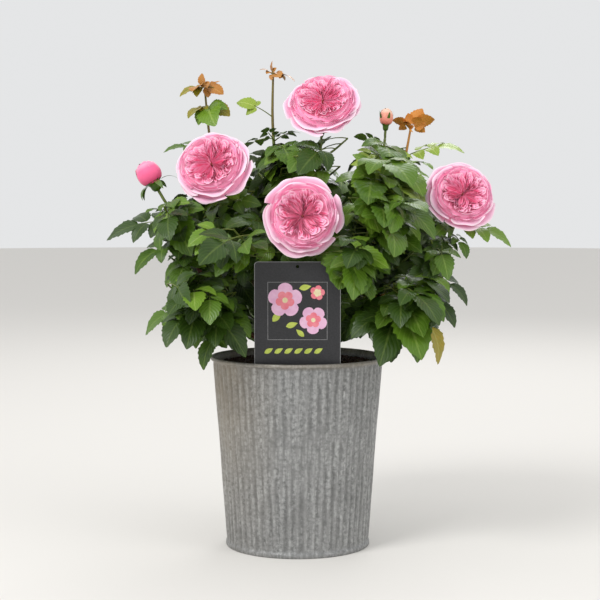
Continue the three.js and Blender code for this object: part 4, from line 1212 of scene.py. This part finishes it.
stemTubes = stemTree()
stem = {  # pairs are the radius at the foot and at the tip
    "reliefScale": 260.0, "caneSides": 14, "caneRelief": 1.6, "base": (19.0, 9.5), "baseHeight": 28, "caneEnd": 2.3,
    "greenSides": 6, "greenRelief": 0.25, "youngRelief": 0.2, "limbFoot": 2.4, "shoot": (2.0, 1.3), "twig": (1.7, 1.1),
    "leafStalk": (0.85, 0.5), "bloomStalk": (1.7, 2.4), "leftBudStalk": (1.7, 1.9), "rightBudStalk": (1.5, 1.7)}


def makeStems(name, lines, sides, relief, material, replaced=()):
    # lines: points and the radius at the foot and at the tip
    points, edges, thick = [], [], []
    for line, foot, tip in lines:
        start = len(points)
        points += (line * mm).tolist()
        thick += (np.linspace(foot, tip, len(line)) * mm).tolist()
        edges += [(start + i, start + i + 1) for i in range(len(line) - 1)]
    mesh = bpy.data.meshes.new(name)
    mesh.from_pydata(points, edges, [])
    mesh.attributes.new("thick", "FLOAT", "POINT").data.foreach_set("value", thick)
    made = runTree(mesh, stemTubes, Sides=sides, Relief=relief * mm, Material=finishes[material],
                   **{"Relief Scale": stem["reliefScale"]})
    finishPiece(name, faceOutwards(made), replaced)
    print(name, len(lines), "lines,", len(made.polygons), "faces")
    return made


def limbLine(mass, branch):
    # the first limb goes on from the end of its cane
    line = branch["line"]
    return smoothLine(np.vstack([mass["cane"][-1], line[1:]]) if branch["start"] is None else line, 4)


prickle = {"perSquareMetre": 5200.0, "radius": 0.9, "length": 4.2, "seed": 9}


def prickleTree():
    tree, given = newTree("scatteredPrickles", [("Density", "Float"), ("Radius", "Float"), ("Length", "Float"),
                                                ("Seed", "Int"), ("Material", "Material")])
    spread = addNode(tree, "GeometryNodeDistributePointsOnFaces", {
        "Mesh": given["Geometry"], "Density": given["Density"], "Seed": given["Seed"]})
    spike = addNode(tree, "GeometryNodeMeshCone", {"Vertices": 5, "Radius Top": 0.0, "Radius Bottom": given["Radius"],
                                                   "Depth": given["Length"]})
    facing = addNode(tree, "FunctionNodeAlignRotationToVector", {"Vector": spread.outputs["Normal"]}, axis="Z")
    size = addNode(tree, "FunctionNodeRandomValue", data_type="FLOAT")
    size.inputs[2].default_value = 0.6
    size.inputs[3].default_value = 1.1
    tree.links.new(given["Seed"], size.inputs["Seed"])
    placed = addNode(tree, "GeometryNodeInstanceOnPoints", {
        "Points": spread.outputs["Points"], "Instance": spike.outputs["Mesh"], "Rotation": facing.outputs[0],
        "Scale": size.outputs[1]})
    endTree(tree, placed.outputs[0], given["Material"])
    return tree


def makeCanes():
    knob = soil["top"] + 0.3
    red = {"left", "right", "front"}
    caneNodes = ["cane_" + mass["name"] for mass in masses]
    for name, isRed, material in (("canesBrown", False, "caneBark"), ("canesRed", True, "redCaneBark")):
        lines = []
        for mass in masses:
            if (mass["name"] in red) == isRed:
                lines.append((smoothLine(mass["cane"], 5), *sizes["caneRadii"]))
                lines.append((limbLine(mass, mass["limbs"][0])[:10], sizes["caneRadii"][1], stem["caneEnd"]))
        if not isRed:
            rise = np.linspace(0, stem["baseHeight"], 12)
            lines.append((np.array([(0.3 * math.sin(z), 0.2, knob - 3 + z) for z in rise]), *stem["base"]))
        replaced = ["stem_base"] + caneNodes if not isRed else ()
        made = makeStems(name, lines, stem["caneSides"], stem["caneRelief"], material, replaced)
        thorns = runTree(made.copy(), prickleTree(), Density=prickle["perSquareMetre"], Radius=prickle["radius"] * mm,
                         Length=prickle["length"] * mm, Seed=prickle["seed"], Material=finishes["prickle"])
        finishPiece("prickles" + name[5:], thorns)


def makeGreenStems():
    green, young, orange = [], [], []
    for mass, growth in zip(masses, growths):
        for number, branch in enumerate(mass["limbs"]):
            line = limbLine(mass, branch)
            if number == 0:
                green.append((line[8:], stem["limbFoot"], sizes["limbRadii"][1]))
                continue
            split = len(line) * 2 // 3
            group = {"upper_left": young, "centre": young, "upper_right": orange}.get(mass["name"], green)
            if number > 1:
                group = green
            green.append((line[:split + 1], sizes["limbRadii"][0] * 0.85, stem["shoot"][0]))
            group.append((line[split:], *stem["shoot"]))
        green += [(smoothLine(twig, 3), *stem["twig"]) for twig in growth.twigs]
        for plan in growth.leaves:
            warm = {"leafBronze": young, "leafGold": orange, "leafOlive": young}.get(plan["colour"], green)
            ends = (0, 0.12, 0.26, 0.39, leafRule["terminalAt"] + 0.02)
            line = np.array([curvePoint(plan["curve"], t) for t in ends])
            line[:, 2] -= 0.3
            warm.append((line, *stem["leafStalk"]))
    for flower in flowers:
        radii = {"bud_left": "leftBudStalk", "bud_right": "rightBudStalk"}.get(flower["name"], "bloomStalk")
        green.append((smoothLine(flower["stalk"], 5), *stem[radii]))
    makeStems("stemsGreen", green, stem["greenSides"], stem["greenRelief"], "greenStem")
    makeStems("stemsYoung", young, stem["greenSides"], stem["youngRelief"], "youngStem")
    makeStems("stemsOrange", orange, stem["greenSides"], stem["youngRelief"], "orangeStem")


makeCanes()
makeGreenStems()


# Blooms: lobed guard petals, short collar petals at all angles, and a heart of folded ones in uneven sectors
bloom = {
    "guards": [  # petals, half spread, profile of radius and height from root to rim, wave and lobe of the rim
        (6, 0.6, [(3, -33), (16, -26), (30, -15), (40, -7.5), (46.5, -4.5), (49.5, -6)], 1.9, 0.2),
        (5, 0.68, [(3, -32), (14, -23), (27, -10), (36, -1), (42, 2), (45, 1)], 1.8, 0.19),
    ],
    "collar": 24, "collarRadius": (30.5, 41.5), "collarSpread": (0.36, 0.6), "collarHeight": (12.8, 4.0),
    "sectors": 11, "foldRadius": (26.0, 32.0), "sway": 3.0, "eyeRadius": 1.6, "foldDepth": 6.5, "floorDrop": 5.5,
    "bowl": (4.5, 8.3),
}


def bloomHeight(radius):
    return bloom["bowl"][0] + bloom["bowl"][1] * (np.clip(radius, 0, 40) / 29.0) ** 0.9


def splineAt(points, shares):
    # a smooth run through the profile points at shares from 0 to 1
    line = smoothLine(np.array([(r, 0, z) for r, z in points], float), 8)
    spots = np.linspace(0, 1, len(line))
    return np.interp(shares, spots, line[:, 0]), np.interp(shares, spots, line[:, 2])


def ringPetal(profile, angle, spread, wave, lobe, draw, rows=11, columns=17):
    u, v = np.meshgrid(np.linspace(-1, 1, columns), np.linspace(0, 1, rows))
    notch = draw.uniform(0.02, 0.08) * np.exp(-((u - draw.uniform(-0.4, 0.4)) / 0.14) ** 2)
    edge = 1 - lobe * abs(u) ** 2.4 - notch * v
    radius, height = splineAt(profile, (v * edge).ravel())
    radius, height = radius.reshape(u.shape), height.reshape(u.shape)
    turn = angle + spread * u * (0.35 + 0.65 * v ** 0.5)
    phase, beats = draw.uniform(0, 6.28), draw.uniform(0.9, 1.9)
    ripple = wave * v ** 3 * np.sin(beats * u * math.pi + phase)
    height = height + ripple + 0.9 * wave * v ** 2 * (u * u - 0.3) * draw.uniform(-0.5, 1)
    radius = radius + 0.5 * wave * v ** 3 * np.cos(beats * u * math.pi + phase * 1.7) + 0.9 * u * v
    points = np.stack([radius * np.cos(turn), radius * np.sin(turn), height], axis=2).reshape(-1, 3)
    return points, gridFaces(rows, columns, True), np.column_stack([(u.ravel() + 1) / 2, v.ravel()])


def foldedPetal(angle, half, near, far, sway, draw, columns=36, rows=5):
    # a petal folded back on itself: its rim runs out from near the eye, round, and back
    s = np.linspace(-1, 1, columns)
    out = np.cos(s * math.pi / 2) ** 0.42
    radius = near + (far - near) * out
    turn = half * np.sign(s) * abs(np.sin(s * math.pi / 2)) ** 0.8
    phase = draw.uniform(0, 6.28, 2)
    bend = sway * np.sin(radius * 0.15) + 0.6 * np.sin(radius / far * 11 + phase[0])
    turn = angle + turn + bend / np.maximum(radius, 8)
    radius = radius + draw.uniform(0.3, 1.1) * np.sin(s * 9 + phase[1])
    rim = bloomHeight(radius) + draw.uniform(-1.1, 1.1) + 0.8 * np.sin(s * 12 + phase[0])
    points, uvs = [], []
    for v in np.linspace(0, 1, rows):
        lean = 1 - 0.22 * v + 0.02 * (1 - v) ** 4
        points.append(np.column_stack([radius * lean * np.cos(turn), radius * lean * np.sin(turn),
                                       rim - bloom["foldDepth"] * v ** 1.2]))
        uvs.append(np.column_stack([(s + 1) / 2, (1 - v) * (0.62 + 0.38 * out)]))  # deeper pink near the eye
    return np.vstack(points), gridFaces(rows, columns), np.vstack(uvs)


def latheFaces(rows, sides):
    return [(i * sides + j, i * sides + (j + 1) % sides, (i + 1) * sides + (j + 1) % sides, (i + 1) * sides + j)
            for i in range(rows - 1) for j in range(sides)]


def lathePoints(profile, sides):
    angles = np.arange(sides) * 2 * math.pi / sides
    return np.vstack([np.column_stack([r * np.cos(angles), r * np.sin(angles), np.full(sides, z)])
                      for r, z in profile])


def sepalPoints(root, length, width, angle, droop, lift, rows=9):
    # a narrow pointed sepal that leaves the hip and bends by droop
    t = np.linspace(0, 1, rows)
    bend = lift + droop * t
    radius = root[0] + length * np.cumsum(np.cos(bend)) / rows
    height = root[1] + length * np.cumsum(np.sin(bend)) / rows
    points, uvs = [], []
    for side in (-1, 0, 1):
        across = side * width * np.sin(math.pi * np.clip(t * 0.9 + 0.12, 0, 1)) ** 0.8 / 2
        points.append(np.column_stack([radius * math.cos(angle) - across * math.sin(angle),
                                       radius * math.sin(angle) + across * math.cos(angle),
                                       height + 0.5 * abs(side)]))
        uvs.append(np.column_stack([np.full(rows, 0.5 + side / 2), t]))
    return np.vstack(points), gridFaces(3, rows, True), np.vstack(uvs)


def placedFlower(flower, points):
    turn = Quaternion((0, 0, 1), flower.get("turn", 0.0))
    pose = (Vector((0, 0, 1)).rotation_difference(Vector(flower["axis"])) @ turn).to_matrix()
    return points * flower["scale"] @ np.array(pose).T + flower["centre"]


petalPatches = {name: Patches() for name in (*petalColours, "bloomEye")}
calyx = Patches()


def makeBloom(flower):
    draw = np.random.default_rng(flower["seed"])

    def add(name, made):
        petalPatches[name].add(placedFlower(flower, made[0]), *made[1:])
    for number, (count, spread, profile, wave, lobe) in enumerate(bloom["guards"]):
        for k in range(count):
            angle = (k + 0.5 * number) * 2 * math.pi / count + draw.uniform(-0.16, 0.16)
            reachOut, lift = draw.uniform(0.94, 1.02), draw.uniform(-1.6, 1.6)
            shifted = [(r * reachOut, z + lift * r / 48) for r, z in profile]
            add("petalOuter", ringPetal(shifted, angle, spread * draw.uniform(0.88, 1.1), wave, lobe, draw))
    for k in range(bloom["collar"]):
        # each stands further in and higher than the one before it, a golden angle on
        share = 1 - k / (bloom["collar"] - 1)
        radius = bloom["collarRadius"][0] + (bloom["collarRadius"][1] - bloom["collarRadius"][0]) * share
        height = bloom["collarHeight"][0] + (bloom["collarHeight"][1] - bloom["collarHeight"][0]) * share
        height += draw.uniform(-0.8, 0.8)
        profile = [(3, -29), (0.36 * radius, -15), (0.7 * radius, height - 14), (0.9 * radius, height - 4.5),
                   (0.985 * radius, height - 0.6), (radius, height)]
        finish = "petalMiddle" if share > 0.3 else "petalInner"
        spread = draw.uniform(*bloom["collarSpread"])
        add(finish, ringPetal(profile, k * goldenAngle + draw.uniform(-0.2, 0.2), spread, 1.2, 0.1, draw))
    widths = draw.uniform(0.6, 1.5, bloom["sectors"])
    widths *= 2 * math.pi / widths.sum()
    for middle, width in zip(np.cumsum(widths) - widths / 2, widths):
        sway, far = draw.uniform(-1, 1) * bloom["sway"], draw.uniform(*bloom["foldRadius"])
        for half, nearest, furthest in ((0.45, 2.0, 4.5), (0.31, 5.0, 9.5), (0.17, 10.0, 16.0)):
            near = draw.uniform(nearest, furthest)
            reachOut = far * (0.7 + 0.68 * half)
            add("petalInner", foldedPetal(middle + draw.uniform(-0.03, 0.03), half * width, near, reachOut, sway, draw))
        between, near, far = middle + 0.5 * width, draw.uniform(12, 20), draw.uniform(27, 33)
        add("petalInner", foldedPetal(between, 0.1 * width, near, far, 0.5 * sway, draw, 26))
    under = [(r, bloomHeight(r) - bloom["floorDrop"]) for r in np.linspace(0.4, 32, 12)] + [(37, -1), (42, -8)]
    floor = lathePoints(under, 24)
    add("petalInner", (floor, latheFaces(len(under), 24), np.tile((0.5, 0.6), (len(floor), 1))))
    eye = [(0.05, 4.4), (1.0, 4.6), (bloom["eyeRadius"], 3.2), (bloom["eyeRadius"], -2.0)]
    add("bloomEye", (lathePoints(eye, 12), latheFaces(4, 12)))
    hip = [(0.4, -37), (3.2, -36), (5.2, -33.5), (5.6, -31), (4.4, -28.5), (5.5, -26)]
    calyx.add(placedFlower(flower, lathePoints(hip, 14)), latheFaces(6, 14))
    for k in range(5):
        made = sepalPoints((5, -29), 24, 7, k * 2 * math.pi / 5 + draw.uniform(-0.15, 0.15), draw.uniform(-1.6, -0.7),
                           0.1)
        calyx.add(placedFlower(flower, made[0]), *made[1:], 0.5)


bud = {"profile": [(0.42, -0.26), (0.8, -0.18), (0.98, -0.04), (1.0, 0.1), (0.9, 0.24), (0.66, 0.38), (0.3, 0.48)],
       "petals": 9}


def budPetal(flower, angle, size, top, rows=10, columns=14, spread=1.5):
    # a petal wrapped round the bud, one edge tucked under the next and its rim turned out a little
    u, v = np.meshgrid(np.linspace(-1, 1, columns), np.linspace(0, 1, rows))
    radius, height = splineAt(bud["profile"], (v * top * (1 - 0.1 * abs(u) ** 3)).ravel())
    flare = 1 + 0.1 * np.clip(v - 0.82, 0, 1) / 0.18 * (1 if top < 0.95 else 0)
    radius = radius.reshape(u.shape) * size * (1 + 0.05 * u * v) * flare
    turn = angle + spread * u * (0.5 + 0.5 * v ** 0.4)
    points = np.stack([radius * np.cos(turn) * flower["radius"], radius * np.sin(turn) * flower["radius"],
                       height.reshape(u.shape) * flower["length"] * (0.97 + 0.02 * np.sin(3 * u))], axis=2)
    return points.reshape(-1, 3), gridFaces(rows, columns, True), np.column_stack([(u.ravel() + 1) / 2, v.ravel()])


def makeBud(flower, finish, sepalLift, sepalDroop):
    draw = np.random.default_rng(5)
    for k in range(bud["petals"]):
        share = k / (bud["petals"] - 1)
        made = budPetal(flower, k * goldenAngle, 0.66 + 0.32 * share, 1.0 - 0.2 * share ** 1.5)
        petalPatches[finish].add(placedFlower(flower, made[0]), *made[1:])
    radius, length = flower["radius"], flower["length"]
    hip = [(0.06, -0.5), (0.3, -0.47), (0.4, -0.4), (0.42, -0.3), (0.5, -0.24), (0.72, -0.19)]
    calyx.add(placedFlower(flower, lathePoints([(r * radius, z * length) for r, z in hip], 14)), latheFaces(6, 14))
    for k in range(5):
        made = sepalPoints((0.5 * radius, -0.25 * length), length * 0.62, radius * 0.42, k * 2 * math.pi / 5,
                           sepalDroop + draw.uniform(-0.2, 0.2), sepalLift)
        calyx.add(placedFlower(flower, made[0]), *made[1:], 0.5)


for flower in flowers:
    if "faces" in flower:
        makeBloom(flower)
makeBud(flowers[4], "petalBud", 0.2, -1.5)
makeBud(flowers[5], "petalSalmon", 1.1, 0.3)
flowerNodes = [flower["name"] for flower in flowers]
for name, patch in petalPatches.items():
    pieceName = "bloomEyes" if name == "bloomEye" else "petals" + name[5:]
    finishPiece(pieceName, patch.mesh(name), flowerNodes if name == "petalOuter" else (), name)
    print(name, len(patch.faces), "faces")
finishPiece("calyxes", calyx.mesh("calyx"), (), "leafMid")


# Stage: pale floor, soft light and a camera at the photograph's angle
stage = {"floorRadius": 9.0, "floor": colour(226, 223, 218), "sky": colour(234, 235, 236), "skyStrength": 0.95,
         "lamps": [  # name, place, size, power
             ("keyLight", (-1.5, -1.7, 2.4), 1.3, 48.0), ("fillLight", (1.9, -1.4, 1.4), 1.4, 10.0),
             ("backLight", (0.5, 2.2, 1.9), 1.2, 14.0)],
         "lampsAimAt": (0, 0, 0.35), "camera": (0.003, -2.008, 0.4605), "cameraDown": 0.075, "lens": 96, "sensor": 36}


def makeStage():
    scene = bpy.context.scene
    sides = 64
    rim = [(stage["floorRadius"] * math.cos(a), stage["floorRadius"] * math.sin(a), 0)
           for a in np.arange(sides) * 2 * math.pi / sides]
    mesh = bpy.data.meshes.new("floor")
    mesh.from_pydata(rim, [], [tuple(range(sides))])
    mesh.materials.append(newMaterial("paleFloor", Base_Color=stage["floor"], Roughness=0.9)[0])
    floor = bpy.data.objects.new("floor", mesh)
    scene.collection.objects.link(floor)
    world = bpy.data.worlds.new("softSky")
    world.use_nodes = True
    world.node_tree.nodes["Background"].inputs["Color"].default_value = stage["sky"]
    world.node_tree.nodes["Background"].inputs["Strength"].default_value = stage["skyStrength"]
    scene.world = world
    for name, spot, size, power in stage["lamps"]:
        lamp = bpy.data.lights.new(name, "AREA")
        lamp.shape = "DISK"
        lamp.size = size
        lamp.energy = power
        holder = bpy.data.objects.new(name, lamp)
        holder.location = spot
        holder.rotation_euler = (Vector(stage["lampsAimAt"]) - Vector(spot)).to_track_quat("-Z", "Y").to_euler()
        scene.collection.objects.link(holder)
    scene.view_settings.view_transform = "Standard"
    eye = bpy.data.cameras.new("camera")
    eye.lens = stage["lens"]
    eye.sensor_width = stage["sensor"]
    holder = bpy.data.objects.new("camera", eye)
    holder.location = stage["camera"]
    holder.rotation_euler = (math.pi / 2 - stage["cameraDown"], 0, 0)
    scene.collection.objects.link(holder)
    scene.camera = holder


makeStage()
print("stage ready")

bpy.context.view_layer.update()
